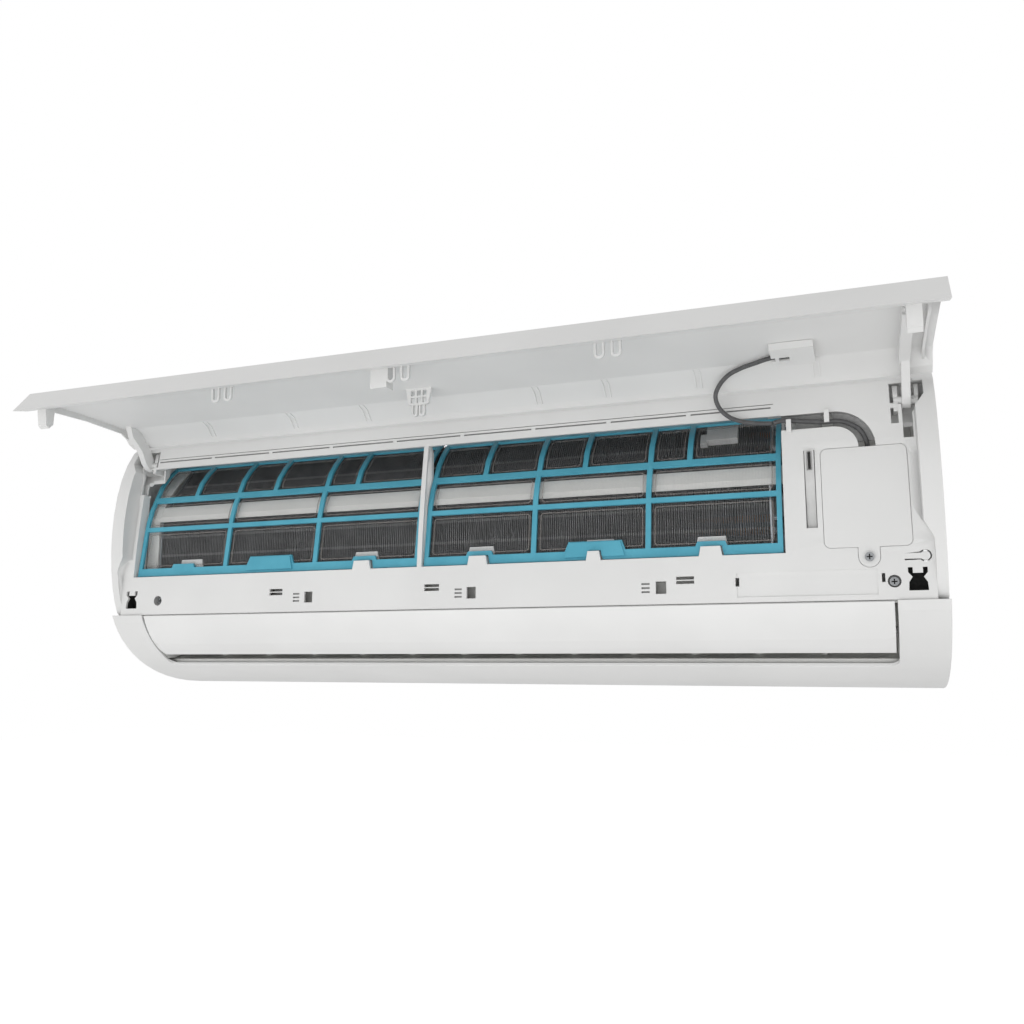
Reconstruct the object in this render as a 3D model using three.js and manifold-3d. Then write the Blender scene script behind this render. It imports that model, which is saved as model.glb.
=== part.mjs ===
// A wall-hung mini split indoor unit with its front panel swung open, in millimetres.
// X runs to the viewer's right, +Y into the wall and +Z up.
// Every piece is drawn in case coordinates: y is the depth behind the nose of the lower case and
// z the height above the seam between lower and upper case. The last lines shift the whole unit
// so that the wall plane is Y = 0 and the middle of the mounting plate is the origin.
import * as THREE from "three";
import { mergeVertices } from "three/addons/utils/BufferGeometryUtils.js";
import Module from "manifold-3d";

const wasm = await Module();
wasm.setup();

// ---- Driving dimensions ----------------------------------------------------------------

const FIT = 0.3; // gap that seated or touching pieces keep
const caseHalf = 400; // half width of the lower case
const upperHalf = caseHalf - 1; // half width of the upper case and of the panel
const lipHalf = caseHalf + 2; // half width of the panel's lip
const wallDepth = 195; // nose of the lower case to the wall
const caseTop = 212; // top of the upper case over the seam
const caseBottom = -71.5; // underside of the lower case
const plateCentre = 70; // height of the mounting plate's middle above the seam
const caseWall = 2.5; // wall of the mouldings
const motorBay = 112; // length of the bay for motor and electrics at the right end
const partition = upperHalf - motorBay; // wall between the coil and that bay

const rimInner = upperHalf - 15; // the end rims stand proud outside this half width
const rimInnerLow = upperHalf - 8; // and outside this one near the seam
const windowLeft = 21 - upperHalf; // filter window in the front wall
const windowRight = partition - 6;
const windowBottom = 39.5;
const windowTop = 156.5;
const postMiddle = (windowLeft + windowRight) / 2 + 2.5; // post between the two filters
const postLeft = postMiddle - 2.8;
const postRight = postMiddle + 1.8;
const railGroove = [163.4, 164.8]; // heights of the short grooves in the rail over the filters
const railLine = [166.9, 167.5]; // and of the long thin one above them
const grooveDepth = 1.5;

const hingeY = 21; // panel hinge axis
const hingeZ = 161.5;
const pinRadius = 3.4;
const armMiddle = upperHalf - 20.6; // half distance between the hinge arms
const armThickness = 6.4;
const armInner = armMiddle - armThickness / 2;
const armOuter = armMiddle + armThickness / 2;

const filterThickness = 2.4;
const filterBorder = 4.2; // width of a filter's side rails
const filterRib = 4.6; // width of a filter's inner ribs

const coilLeft = 38 - upperHalf; // ends of the fin packs
const coilRight = partition - 19;
const fanY = 113; // crossflow fan axis
const fanZ = 46;
const fanRadius = 46;
const chassisLeft = windowLeft + 0.9; // outer face of the chassis' left wall
const fanLeft = chassisLeft + 11.1;
const fanRight = coilRight - 6;
const bladeCount = 20;
const bladeThickness = 1.1;
const bladeDepth = 9;
const fanDisc = 2;
const fanBays = 3; // bays of blades between the discs
const shaftRadius = 4;
const boreClearance = 0.3;

const coilDepth = 25;
const endPlate = 1.5; // sheet at the ends of the fin packs
const bendRadius = 10.5; // hairpin bends of the coil tubes
const tubeRadius = 3.5;

const chassisBack = wallDepth - 6.5;
const plateThickness = 1.2;
const plateHalf = caseHalf - 90;
const plateBottom = -16;
const plateTop = 156;
const hookLip = 9; // height of the hooks' upturned lips

const outletHalf = caseHalf - 37.7; // half width of the air outlet
const louverHalf = outletHalf - 2.3; // half width of the louver
const outletBack = 53; // depth of the outlet's lower lip
const louverThickness = 2.2;
const louverY = 36; // louver pivot
const louverZ = -22;
const louverPin = 3;

const vaneCount = 12; // vertical vanes, half of them on each link
const vaneSpacing = (2 * outletHalf) / (vaneCount + 1);
const vaneThickness = 1.6;
const vaneY = 70; // vane pivot
const vaneBottom = -31;
const vaneTop = 2;
const vanePin = 2;
const linkY = 80; // post that the link bar drives
const linkZ = -6;
const linkThickness = 2;
const linkPost = 1;

const motorRadius = 42;
const motorLength = 56;
const motorLeft = partition + 9;
const motorRight = motorLeft + motorLength;
const clampWidth = 20;
const clampWall = 3;

const boxLeft = partition + caseWall + FIT; // electrical box
const boxRight = upperHalf - 19;
const boxFront = 20;
const boxBack = 58.5;
const boxBottom = 28;
const boxTop = 121;
const boxWall = 2;

const coverLeft = partition + 24; // service cover
const coverRight = upperHalf - 23;
const coverBottom = 42;
const coverTop = 124;
const coverCorner = 5;
const coverThickness = 2;
const coverTongueX = (coverLeft + coverRight) / 2 + 0.5; // its screw tongue
const coverTongueZ = 34;
const coverTongueRadius = 8;
const screwShank = 1.7;
const screwHead = 3.6;

const slotLeft = partition + 11; // upright sensor slot beside the cover
const slotRight = slotLeft + 8.5;
const slotBottom = 59;
const slotHeight = 65;

const channelRadius = 6.5; // half width of the cable channel
const channelFloor = 22;
const channelBend = 25; // radius of its bend's middle line
const channelBendX = coverLeft + 11; // centre of the bend
const channelBendZ = 124.5;
const channelMiddle = channelBendZ + channelBend; // height of its level part
const channelDown = channelBendX + channelBend; // where it runs down into the electrical box
const cableRadius = 1.9;

const displayLeft = partition - 8; // display housing under the panel
const displayRight = displayLeft + 33;
const displayFront = -50;
const displayBack = -12;
const displayDrop = 5.6;
const displaySlot = [-30.8, -22.6]; // slot for the cable, front to back

// ---- Outlines in (y, z) ----------------------------------------------------------------

const point = (a, b) => new THREE.Vector2(a, b);

function bezier(a, b, c, d, steps) {
  const curve = new THREE.CubicBezierCurve(point(...a), point(...b), point(...c), point(...d));
  return curve.getPoints(steps);
}

// The line beside a polyline, at a distance to its left.
function offsetLine(points, distance) {
  return points.map((p, i) => {
    const before = points[Math.max(i - 1, 0)];
    const after = points[Math.min(i + 1, points.length - 1)];
    const along = after.clone().sub(before).normalize();
    return point(p.x - along.y * distance, p.y + along.x * distance);
  });
}

const lowerNose = bezier([0, 0], [14.5, -32], [55, -67.9], [145, -70.3], 12);
const upperNose = bezier([6, 3], [-12, 38], [-18, 130], [16, 176], 10);
const upperTop = bezier([16, 176], [40, 200], [80, caseTop], [wallDepth - FIT, caseTop], 8);
const frontPlane = bezier([2.5, FIT], [2.5, 60], [11, 130], [20, 180], 10);
const lowerBack = wallDepth - FIT;

// Depth of the recessed front plane at a height.
function planeAt(z) {
  const above = frontPlane.findIndex((p) => p.y >= z);
  const hi = frontPlane[Math.max(above, 1)];
  const lo = frontPlane[Math.max(above, 1) - 1];
  return lo.x + ((hi.x - lo.x) * (z - lo.y)) / (hi.y - lo.y);
}

// ---- Solids ----------------------------------------------------------------------------

function solid(geometry) {
  const bare = geometry.index ? geometry.toNonIndexed() : geometry.clone();
  bare.deleteAttribute("normal");
  bare.deleteAttribute("uv");
  const merged = mergeVertices(bare, 1e-4);
  return new wasm.Manifold(
    new wasm.Mesh({
      numProp: 3,
      vertProperties: new Float32Array(merged.attributes.position.array),
      triVerts: new Uint32Array(merged.index.array),
    }),
  );
}

function geometryOf(body) {
  const mesh = body.getMesh();
  const geometry = new THREE.BufferGeometry();
  geometry.setAttribute("position", new THREE.BufferAttribute(mesh.vertProperties, 3));
  geometry.setIndex(new THREE.BufferAttribute(mesh.triVerts, 1));
  geometry.computeVertexNormals();
  return geometry;
}

const join = (...bodies) => bodies.flat(Infinity).reduce((sum, body) => sum.add(body));
const cut = (body, ...tools) => tools.flat(Infinity).reduce((rest, tool) => rest.subtract(tool), body);

function block(x0, x1, y0, y1, z0, z1) {
  const box = new THREE.BoxGeometry(x1 - x0, y1 - y0, z1 - z0);
  box.translate((x0 + x1) / 2, (y0 + y1) / 2, (z0 + z1) / 2);
  return solid(box);
}

function extrude(shape, depth, curveSegments = 6) {
  const options = { depth, bevelEnabled: false, curveSegments };
  return new THREE.ExtrudeGeometry(shape, options);
}

const asShape = (outline) => (outline instanceof THREE.Shape ? outline : new THREE.Shape(outline));

// An outline in (y, z), run along X.
function runX(outline, x0, x1, curveSegments = 6) {
  const turn = new THREE.Matrix4().makeBasis(
    new THREE.Vector3(0, 1, 0),
    new THREE.Vector3(0, 0, 1),
    new THREE.Vector3(1, 0, 0),
  );
  const geometry = extrude(asShape(outline), x1 - x0, curveSegments).applyMatrix4(turn);
  return solid(geometry.translate(x0, 0, 0));
}

// An outline in (x, z), run along Y.
function runY(outline, y0, y1, curveSegments = 6) {
  const geometry = extrude(asShape(outline), y1 - y0, curveSegments).rotateX(Math.PI / 2);
  return solid(geometry.translate(0, y1, 0));
}

// An outline in (x, y), run along Z.
function runZ(outline, z0, z1, curveSegments = 6) {
  return solid(extrude(asShape(outline), z1 - z0, curveSegments).translate(0, 0, z0));
}

function rodX(x0, x1, y, z, radius, sides = 20) {
  const rod = new THREE.CylinderGeometry(radius, radius, x1 - x0, sides);
  return solid(rod.rotateZ(Math.PI / 2).translate((x0 + x1) / 2, y, z));
}

function rodY(y0, y1, x, z, radius, sides = 16) {
  const rod = new THREE.CylinderGeometry(radius, radius, y1 - y0, sides);
  return solid(rod.translate(x, (y0 + y1) / 2, z));
}

function rodZ(z0, z1, x, y, radius, sides = 12) {
  const rod = new THREE.CylinderGeometry(radius, radius, z1 - z0, sides);
  return solid(rod.rotateX(Math.PI / 2).translate(x, y, (z0 + z1) / 2));
}

function roundedRect(left, right, bottom, top, r) {
  const shape = new THREE.Shape();
  shape.moveTo(left + r, bottom);
  shape.lineTo(right - r, bottom);
  shape.absarc(right - r, bottom + r, r, -Math.PI / 2, 0);
  shape.absarc(right - r, top - r, r, 0, Math.PI / 2);
  shape.absarc(left + r, top - r, r, Math.PI / 2, Math.PI);
  shape.absarc(left + r, bottom + r, r, Math.PI, Math.PI * 1.5);
  return shape;
}

// A round tube along a curve.
function tube(curve, radius, sides, steps) {
  const ring = new THREE.Shape();
  for (let i = 0; i < sides; i++) {
    const angle = (i * 2 * Math.PI) / sides;
    const place = [radius * Math.cos(angle), radius * Math.sin(angle)];
    if (i === 0) ring.moveTo(...place);
    else ring.lineTo(...place);
  }
  const options = { steps, bevelEnabled: false, extrudePath: curve };
  return solid(new THREE.ExtrudeGeometry(ring, options));
}

const spline = (points) =>
  new THREE.CatmullRomCurve3(points.map((p) => new THREE.Vector3(...p)), false, "centripetal");

// ---- Materials -------------------------------------------------------------------------

const paint = (color, roughness, metalness) =>
  new THREE.MeshStandardMaterial({ color, roughness, metalness });

const whitePlastic = paint(0xe2e2e2, 0.45, 0);
const warmWhitePlastic = paint(0xd9d9d9, 0.5, 0);
const filterBlue = paint(0x5fb6d2, 0.5, 0);
const filterNet = paint(0x6a6866, 0.8, 0);
const finAluminium = paint(0x55575a, 0.5, 0.8);
const galvanisedSteel = paint(0xa9acae, 0.5, 0.9);
const copper = paint(0xb06a45, 0.4, 1);
const greyPlastic = paint(0x8c8e90, 0.6, 0);
const blackPlastic = paint(0x2a2b2c, 0.6, 0);
const boardGreen = paint(0x2f6b45, 0.6, 0);
const cableGrey = paint(0x555555, 0.6, 0);
const screwSteel = paint(0xc0c0c0, 0.35, 0.9);

const unit = new THREE.Group();

function addPiece(parent, name, body, material) {
  const mesh = new THREE.Mesh(geometryOf(body), material);
  mesh.name = name;
  parent.add(mesh);
  return mesh;
}

// ---- Lower case ------------------------------------------------------------------------

// The shell around the outlet: a curved nose running into the flat underside.
function lowerCase() {
  const outline = [...lowerNose, point(lowerBack, caseBottom), point(lowerBack, 0)];
  const inner = offsetLine(lowerNose, caseWall);
  const hollow = [
    point(inner[0].x, 3),
    ...inner,
    point(lowerBack + 1, caseBottom + caseWall),
    point(lowerBack + 1, 3),
  ];
  const shell = cut(
    runX(outline, -caseHalf, caseHalf),
    runX(hollow, -caseHalf + caseWall, caseHalf - caseWall),
  );
  const mouth = new THREE.Shape();
  const corner = 8;
  mouth.moveTo(-outletHalf, -10);
  mouth.lineTo(outletHalf, -10);
  mouth.lineTo(outletHalf, outletBack - corner);
  mouth.absarc(outletHalf - corner, outletBack - corner, corner, 0, Math.PI / 2);
  mouth.absarc(-outletHalf + corner, outletBack - corner, corner, Math.PI / 2, Math.PI);
  return cut(shell, runZ(mouth, caseBottom - 4, 2));
}

// ---- Outlet duct with drip tray ---------------------------------------------------------

const ductWall = 2.5;

// The duct's roof, the drip tray over it and the end cheeks that carry the louver.
function outletDuct() {
  const profile = [
    point(5.5, -2),
    point(30, 5),
    point(52, 13),
    point(66, 22),
    point(62, 35),
    point(59.5, 35),
    point(59.5, 24),
    point(50, 18),
    point(20, 16),
    point(18.5, 27),
    point(16, 27),
    point(15, 12),
    point(14.4, 5),
    point(5.5, 0.3),
  ];
  const roof = runX(profile, -outletHalf - ductWall, outletHalf + ductWall);
  const besideNose = offsetLine(lowerNose, caseWall + FIT).filter((p) => p.x > 5.8 && p.x < 56);
  const cheekOutline = [
    ...besideNose,
    point(57.5, -43),
    point(75, -36.5),
    point(75, 4),
    point(67, 22),
    point(60, 26),
    point(16, 10),
  ];
  const bore = (x0, x1) => rodX(x0, x1, louverY, louverZ, louverPin + boreClearance, 16);
  const outer = outletHalf + ductWall;
  const cheekLeft = cut(runX(cheekOutline, -outer, -outletHalf), bore(-outer - 1, -outletHalf + 1));
  const cheekRight = cut(runX(cheekOutline, outletHalf, outer), bore(outletHalf - 1, outer + 1));
  const screwHoles = caseScrews.map((x) => rodY(10, 22, x, caseScrewZ, screwShank + boreClearance, 12));
  return cut(join(roof, cheekLeft, cheekRight), screwHoles);
}

// ---- Louver ----------------------------------------------------------------------------

const louverOuter = bezier([1.2, -1.2], [9, -19.5], [21, -33.5], [38.5, -40], 8);
const louverArm = 2.5;

function louver() {
  const inner = offsetLine(louverOuter, louverThickness);
  const flap = runX([...louverOuter, ...inner.reverse()], -louverHalf, louverHalf);
  const armOutline = [point(20, -29.5), point(37, -35.5), point(41, -22), point(36, -16.5), point(30.5, -19)];
  const ends = [-1, 1].map((side) => {
    const near = side * (louverHalf - 0.5);
    const far = side * (louverHalf - 0.5 - louverArm);
    const x0 = Math.min(near, far);
    const x1 = Math.max(near, far);
    const pinEnd = side * (outletHalf + ductWall + (side > 0 ? 8 : 0));
    const pin = rodX(Math.min(near, pinEnd), Math.max(near, pinEnd), louverY, louverZ, louverPin, 16);
    return join(runX(armOutline, x0, x1), rodX(x0, x1, louverY, louverZ, 5.5), pin);
  });
  return join(flap, ...ends);
}

// A stepper motor on the right cheek, with a socket for the louver's pin.
function louverMotor() {
  const left = outletHalf + ductWall + FIT;
  const bodyY = louverY + 4;
  const bodyZ = louverZ + 5.5;
  const body = rodX(left, left + 18, bodyY, bodyZ, 12, 20);
  const ears = block(left, left + 2, bodyY - 17, bodyY + 17, bodyZ - 3.5, bodyZ + 3.5);
  return cut(join(body, ears), rodX(left - 1, left + 10, louverY, louverZ, louverPin + boreClearance, 16));
}

// ---- Vertical vanes --------------------------------------------------------------------

const vaneX = (i) => (i - (vaneCount - 1) / 2) * vaneSpacing;

function vane(x) {
  const outline = [
    point(57.5, -31),
    point(84, vaneBottom),
    point(84, linkZ - 3),
    point(76, linkZ - 3),
    point(76, linkZ + 3),
    point(84, linkZ + 3),
    point(84, vaneTop),
    point(60, vaneTop - 3),
  ];
  const blade = runX(outline, x - vaneThickness / 2, x + vaneThickness / 2);
  const post = rodZ(linkZ - 3.5, linkZ + 3.5, x, linkY, linkPost, 6);
  const pin = rodZ(-37.5, vaneBottom + 1, x, vaneY, vanePin, 8);
  return join(blade, post, pin);
}

// A flat bar with one slotted hole for each vane's post.
function vaneLink(first, last) {
  const margin = 8;
  const half = 4;
  const x0 = vaneX(first) - margin;
  const x1 = vaneX(last) + margin;
  const z0 = linkZ - linkThickness / 2;
  const z1 = linkZ + linkThickness / 2;
  let bar = block(x0, x1, linkY + 0.2 - half, linkY + 0.2 + half, z0, z1);
  for (let i = first; i <= last; i++) {
    const hole = roundedRect(vaneX(i) - 1.7, vaneX(i) + 1.7, linkY - 2.9, linkY + 1.6, 1.5);
    bar = cut(bar, runZ(hole, z0 - 1, z1 + 1, 2));
  }
  return bar;
}

// ---- Rear chassis ----------------------------------------------------------------------

const scrollBack = fanY + fanRadius + 9;
const scrollBottom = fanZ - fanRadius - 22;
const scroll = bezier([scrollBack, 92], [scrollBack + 8, 22], [130, scrollBottom], [56, -44.5], 12);
const trayFloor = [point(144, 90), point(186.5, 94), point(186.5, 96.5), point(146.5, 92.8)];

// The moulding that holds everything: back wall, fan scroll, rear drip tray and end walls.
function rearChassis() {
  const outerScroll = offsetLine(scroll, caseWall).reverse();
  const guide = runX([...scroll, ...outerScroll], chassisLeft, partition + caseWall);
  const back = block(chassisLeft, upperHalf - 7, chassisBack - caseWall, chassisBack, -60, 196);
  const trayLip = [point(144, 90), point(146.5, 90), point(146.5, 102), point(144, 102)];
  const trayRight = coilRight + 4;
  const tray = join(
    runX(trayFloor, chassisLeft, trayRight),
    runX(trayLip, chassisLeft, trayRight),
    block(trayRight - 2, trayRight, 145, chassisBack - 1, 92, 101),
  );
  const foot = block(chassisLeft, partition + caseWall, 100, 102.5, -62.6, -36);
  const wallOutline = [
    point(30, 38),
    point(22, 42),
    point(22, 104),
    point(30, 121),
    point(42, 139),
    point(66, 164),
    point(84, 176),
    point(112, 184),
    point(187, 184),
    point(187, -50),
    point(100, -46),
    point(88, -42.5),
    point(88, 30),
    point(68, 37),
  ];
  const leftWall = cut(
    runX(wallOutline, chassisLeft, chassisLeft + caseWall),
    rodX(chassisLeft - 1, chassisLeft + caseWall + 1, fanY, fanZ, bearingRadius + FIT, 24),
  );
  const flangeRight = coilLeft - FIT - endPlate - 0.8;
  const flange = cut(
    runX(wallOutline, chassisLeft, flangeRight),
    runX(wallOutline.map(({ x, y }) => point(x + 2, y)), chassisLeft - 1, flangeRight + 1),
  ).intersect(block(chassisLeft, flangeRight, 0, 80, 42, 164));
  const rightWall = cut(
    runX(wallOutline, partition, partition + caseWall),
    rodX(partition - 1, partition + caseWall + 1, fanY, fanZ, 7, 20),
    pipes.map((p) => rodX(partition - 1, partition + caseWall + 1, pipeY, p.z, p.radius + 2.5, 16)),
  );
  const sockets = [];
  for (let i = 0; i < vaneCount; i++) {
    const boss = rodZ(-42.5, vaneBottom - FIT, vaneX(i), vaneY, 4, 8);
    sockets.push(cut(boss, rodZ(-38, vaneBottom, vaneX(i), vaneY, vanePin + boreClearance, 8)));
  }
  const ribHalf = plateHalf - 10;
  const ribBack = wallDepth - plateThickness - FIT;
  const hookTop = plateTop + hookLip + FIT;
  const ribs = [
    block(-ribHalf, ribHalf, chassisBack - 0.5, ribBack, plateBottom + 2, plateBottom + 5),
    block(-ribHalf, ribHalf, chassisBack - 0.5, ribBack, hookTop, hookTop + 3),
    block(-ribHalf, ribHalf, ribBack - 1.5, ribBack, plateTop + 1.5, hookTop + 1),
  ];
  const ductEnd = [
    runX(
      [point(56, -44.5), point(88, -35), point(88, -37.8), point(56, -47.2)],
      partition, outletHalf + ductWall,
    ),
    block(partition, outletHalf + ductWall, 86, 88.5, -37.5, 6),
  ];
  const motorWall = block(upperHalf - 10.5, upperHalf - 8, 150, chassisBack - 1, -55, 190);
  const lip = block(FIT - outletHalf, outletHalf - FIT, 56, 58, -49.4, -45.5);
  const walls = [leftWall, rightWall, motorWall];
  return join(guide, back, tray, foot, walls, flange, ductEnd, lip, sockets, ribs);
}

// Galvanised sheet with screw slots and two hooks that the chassis hangs on.
function mountingPlate() {
  let plate = block(-plateHalf, plateHalf, wallDepth - plateThickness, wallDepth, plateBottom, plateTop);
  for (const x of [-plateHalf + 40, -110, 110, plateHalf - 40]) {
    for (const z of [plateBottom + 24, plateTop - 24]) {
      const slot = roundedRect(x - 9, x + 9, z - 3, z + 3, 2.9);
      plate = cut(plate, runY(slot, wallDepth - 5, wallDepth + 5, 2));
    }
  }
  for (const x of [-200, 200]) {
    const window = roundedRect(x - 34, x + 34, plateCentre - 22, plateCentre + 22, 6);
    plate = cut(plate, runY(window, wallDepth - 5, wallDepth + 5, 3));
  }
  const hooks = [-220, 0, 220].map((x) =>
    join(
      block(x - 18, x + 18, wallDepth - 4.6, wallDepth - 0.4, plateTop - 1.2, plateTop),
      block(x - 18, x + 18, wallDepth - 4.6, wallDepth - 3.4, plateTop - 1, plateTop + hookLip),
    ),
  );
  return join(plate, ...hooks);
}

// ---- Crossflow fan ---------------------------------------------------------------------

const bearingRadius = 12;

function crossflowFan() {
  const discStep = (fanRight - fanLeft - fanDisc) / fanBays;
  const discs = [];
  for (let i = 0; i <= fanBays; i++) {
    const x = fanLeft + i * discStep;
    discs.push(rodX(x, x + fanDisc, fanY, fanZ, fanRadius, 24));
  }
  const blades = [];
  const tilt = 0.5;
  for (let i = 0; i < bladeCount; i++) {
    const angle = (i * 2 * Math.PI) / bladeCount;
    const inner = fanRadius - 0.7 - bladeDepth;
    const outer = fanRadius - 0.7;
    const half = bladeThickness / 2;
    const place = (radius, turn, side) => {
      const a = angle + turn;
      const y = fanY + radius * Math.cos(a) - side * Math.sin(angle + tilt);
      const z = fanZ + radius * Math.sin(a) + side * Math.cos(angle + tilt);
      return point(y, z);
    };
    const lean = 0.09;
    const blade = [
      place(inner, 0, -half),
      place(outer, lean, -half),
      place(outer, lean, half),
      place(inner, 0, half),
    ];
    blades.push(runX(blade, fanLeft + 1, fanRight - 1));
  }
  const stub = rodX(fanLeft - 12.2, fanLeft + 1, fanY, fanZ, shaftRadius);
  const hub = cut(
    rodX(fanRight - 22, fanRight, fanY, fanZ, 12, 20),
    rodX(fanRight - 23, fanRight + 1, fanY, fanZ, shaftRadius + boreClearance),
  );
  const body = join(discs, blades, stub);
  const bored = cut(body, rodX(fanRight - 22, fanRight + 1, fanY, fanZ, 11.5, 20));
  return join(bored, hub);
}

const motorShaft = () => rodX(fanRight - 21, motorRight + 4, fanY, fanZ, shaftRadius);

function fanBearing() {
  const ring = join(
    rodX(chassisLeft - 3, chassisLeft + 4.5, fanY, fanZ, bearingRadius, 24),
    rodX(chassisLeft - 3, chassisLeft - FIT, fanY, fanZ, bearingRadius + 4, 24),
  );
  const bore = rodX(chassisLeft - 1.5, chassisLeft + 6, fanY, fanZ, shaftRadius + boreClearance);
  return cut(ring, bore);
}

function fanMotor() {
  const body = join(
    rodX(motorLeft, motorRight, fanY, fanZ, motorRadius, 32),
    rodX(motorLeft - 5, motorRight + 6, fanY, fanZ, 14, 20),
  );
  return cut(body, rodX(motorLeft - 6, motorRight + 7, fanY, fanZ, shaftRadius + boreClearance));
}

// A strap round the motor with two legs back to the chassis.
function motorClamp() {
  const inner = motorRadius + FIT;
  const outer = inner + clampWall;
  const seat = chassisBack - caseWall - FIT;
  const middle = (motorLeft + motorRight) / 2;
  const outline = new THREE.Shape();
  outline.moveTo(seat, fanZ + inner);
  outline.lineTo(seat, fanZ + outer);
  outline.lineTo(fanY, fanZ + outer);
  outline.absarc(fanY, fanZ, outer, Math.PI / 2, Math.PI * 1.5);
  outline.lineTo(seat, fanZ - outer);
  outline.lineTo(seat, fanZ - inner);
  outline.lineTo(fanY, fanZ - inner);
  outline.absarc(fanY, fanZ, inner, Math.PI * 1.5, Math.PI / 2, true);
  const strap = runX(outline, middle - clampWidth / 2, middle + clampWidth / 2, 20);
  const feet = [fanZ + outer - 0.5, fanZ - outer - 11.5].map((z) =>
    block(middle - clampWidth / 2, middle + clampWidth / 2, seat - clampWall, seat, z, z + 12),
  );
  return join(strap, ...feet);
}

// ---- Evaporator ------------------------------------------------------------------------

// A slab of the coil: its outer face runs from a to b, its depth lies to the right of that.
function slabOutline(a, b) {
  const along = b.clone().sub(a).normalize();
  const inward = point(along.y, -along.x).multiplyScalar(coilDepth);
  return [a, b, b.clone().add(inward), a.clone().add(inward)];
}

const lowerSlab = slabOutline(point(24, 36), point(24, 103));
const upperSlab = slabOutline(point(35, 118), point(72, 169));
const rearSlab = slabOutline(point(110, 178), point(168, 122));

const finPack = (outline) => runX([...outline].reverse(), coilLeft, coilRight);

const endOutline = [
  point(23.8, 35),
  point(50, 35),
  point(50, 100),
  point(57, 102),
  point(94, 152),
  point(151, 103),
  point(170, 122),
  point(111, 180),
  point(84, 171),
  point(71, 171),
  point(33.4, 118),
  point(23.8, 104),
];

const endPlateLeft = () => runX(endOutline, coilLeft - FIT - endPlate, coilLeft - FIT);

// Places of the tube ends on the right end plate, in pairs joined by hairpin bends.
const bendCentres = [
  { y: 36, z: 52, angle: Math.PI / 2 },
  { y: 37, z: 84, angle: Math.PI / 2 },
  { y: 52, z: 120, angle: 0.94 },
  { y: 72, z: 147, angle: 0.94 },
  { y: 111, z: 159, angle: -0.77 },
  { y: 141, z: 130, angle: -0.77 },
];

function hairpin(centre) {
  const start = coilRight + FIT + endPlate - 0.5;
  const points = [];
  const steps = 6;
  for (let i = 0; i <= steps; i++) {
    const turn = (i * Math.PI) / steps;
    const across = bendRadius * Math.cos(turn);
    const y = centre.y + across * Math.cos(centre.angle);
    const z = centre.z + across * Math.sin(centre.angle);
    points.push([start + 3 + bendRadius * Math.sin(turn) * 0.75, y, z]);
  }
  const first = [start, points[0][1], points[0][2]];
  const last = [start, points[steps][1], points[steps][2]];
  return tube(spline([first, ...points, last]), tubeRadius, 7, 8);
}

function endPlateRight() {
  const x0 = coilRight + FIT;
  const x1 = x0 + endPlate;
  const lugs = [
    block(x0, partition - FIT, 140, 158, 108, 109.5),
    block(x0, partition - FIT, 26, 44, 35, 36.5),
  ];
  return join(runX(endOutline, x0, x1), ...bendCentres.map(hairpin), ...lugs);
}

// The white bar across the gap between the two front slabs.
function coilGapStrip() {
  const outline = [
    point(21.3, 99.5),
    point(23.5, 99.5),
    point(23.5, 103.5),
    point(31, 116.5),
    point(28.6, 116.5),
    point(22.3, 105),
  ];
  return runX(outline, coilLeft - FIT - endPlate - 0.5, partition - FIT);
}

// Copper stubs that the room's pipework is flared onto.
const pipes = [
  {
    name: "liquid_pipe",
    z: 97,
    radius: 3.2,
    nut: 7.5,
    end: upperHalf - 23,
    from: [157, 117],
    via: [[166, 112]],
  },
  {
    name: "gas_pipe",
    z: 116,
    radius: 4.8,
    nut: 8.4,
    end: upperHalf - 27,
    from: [126, 144.5],
    via: [[141, 150.5], [160, 146], [174, 134]],
  },
];
const pipeY = wallDepth - 17.8;
const nutLength = 18;

// A copper tube from the coil's end plate, round the back and out through the partition.
function pipe({ z, radius, nut, end, from, via }) {
  const start = coilRight + FIT + endPlate + 0.8;
  const path = [
    [start, ...from],
    [start + 4, ...from],
    ...via.map((p) => [start + 8.5, ...p]),
    [start + 10.5, pipeY - 0.7, z + 7],
    [partition + 1, pipeY, z],
    [partition + 16, pipeY, z],
    [end - nutLength + 2, pipeY, z],
  ];
  const fitting = rodX(end - nutLength, end, pipeY, z, nut, 6);
  const mouth = rodX(end - 6, end + 1, pipeY, z, radius * 0.7, 12);
  return cut(join(tube(spline(path), radius, 8, 16), fitting), mouth);
}

// ---- Front case ------------------------------------------------------------------------

const topInner = offsetLine(upperTop, -caseWall);
const planeInner = offsetLine(frontPlane, -caseWall);
const noseInner = offsetLine(upperNose, -caseWall);

// The outline of the channel for the display's cable, in (x, z).
function channelOutline(grow) {
  const r = channelRadius + grow;
  const left = partition - 15 - grow;
  const shape = new THREE.Shape();
  shape.moveTo(left, channelBendZ + channelBend - r);
  shape.lineTo(channelBendX, channelBendZ + channelBend - r);
  shape.absarc(channelBendX, channelBendZ, channelBend - r, Math.PI / 2, 0, true);
  shape.lineTo(channelDown + r, channelBendZ);
  shape.absarc(channelBendX, channelBendZ, channelBend + r, 0, Math.PI / 2);
  shape.lineTo(left, channelBendZ + channelBend + r);
  return shape;
}

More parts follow.
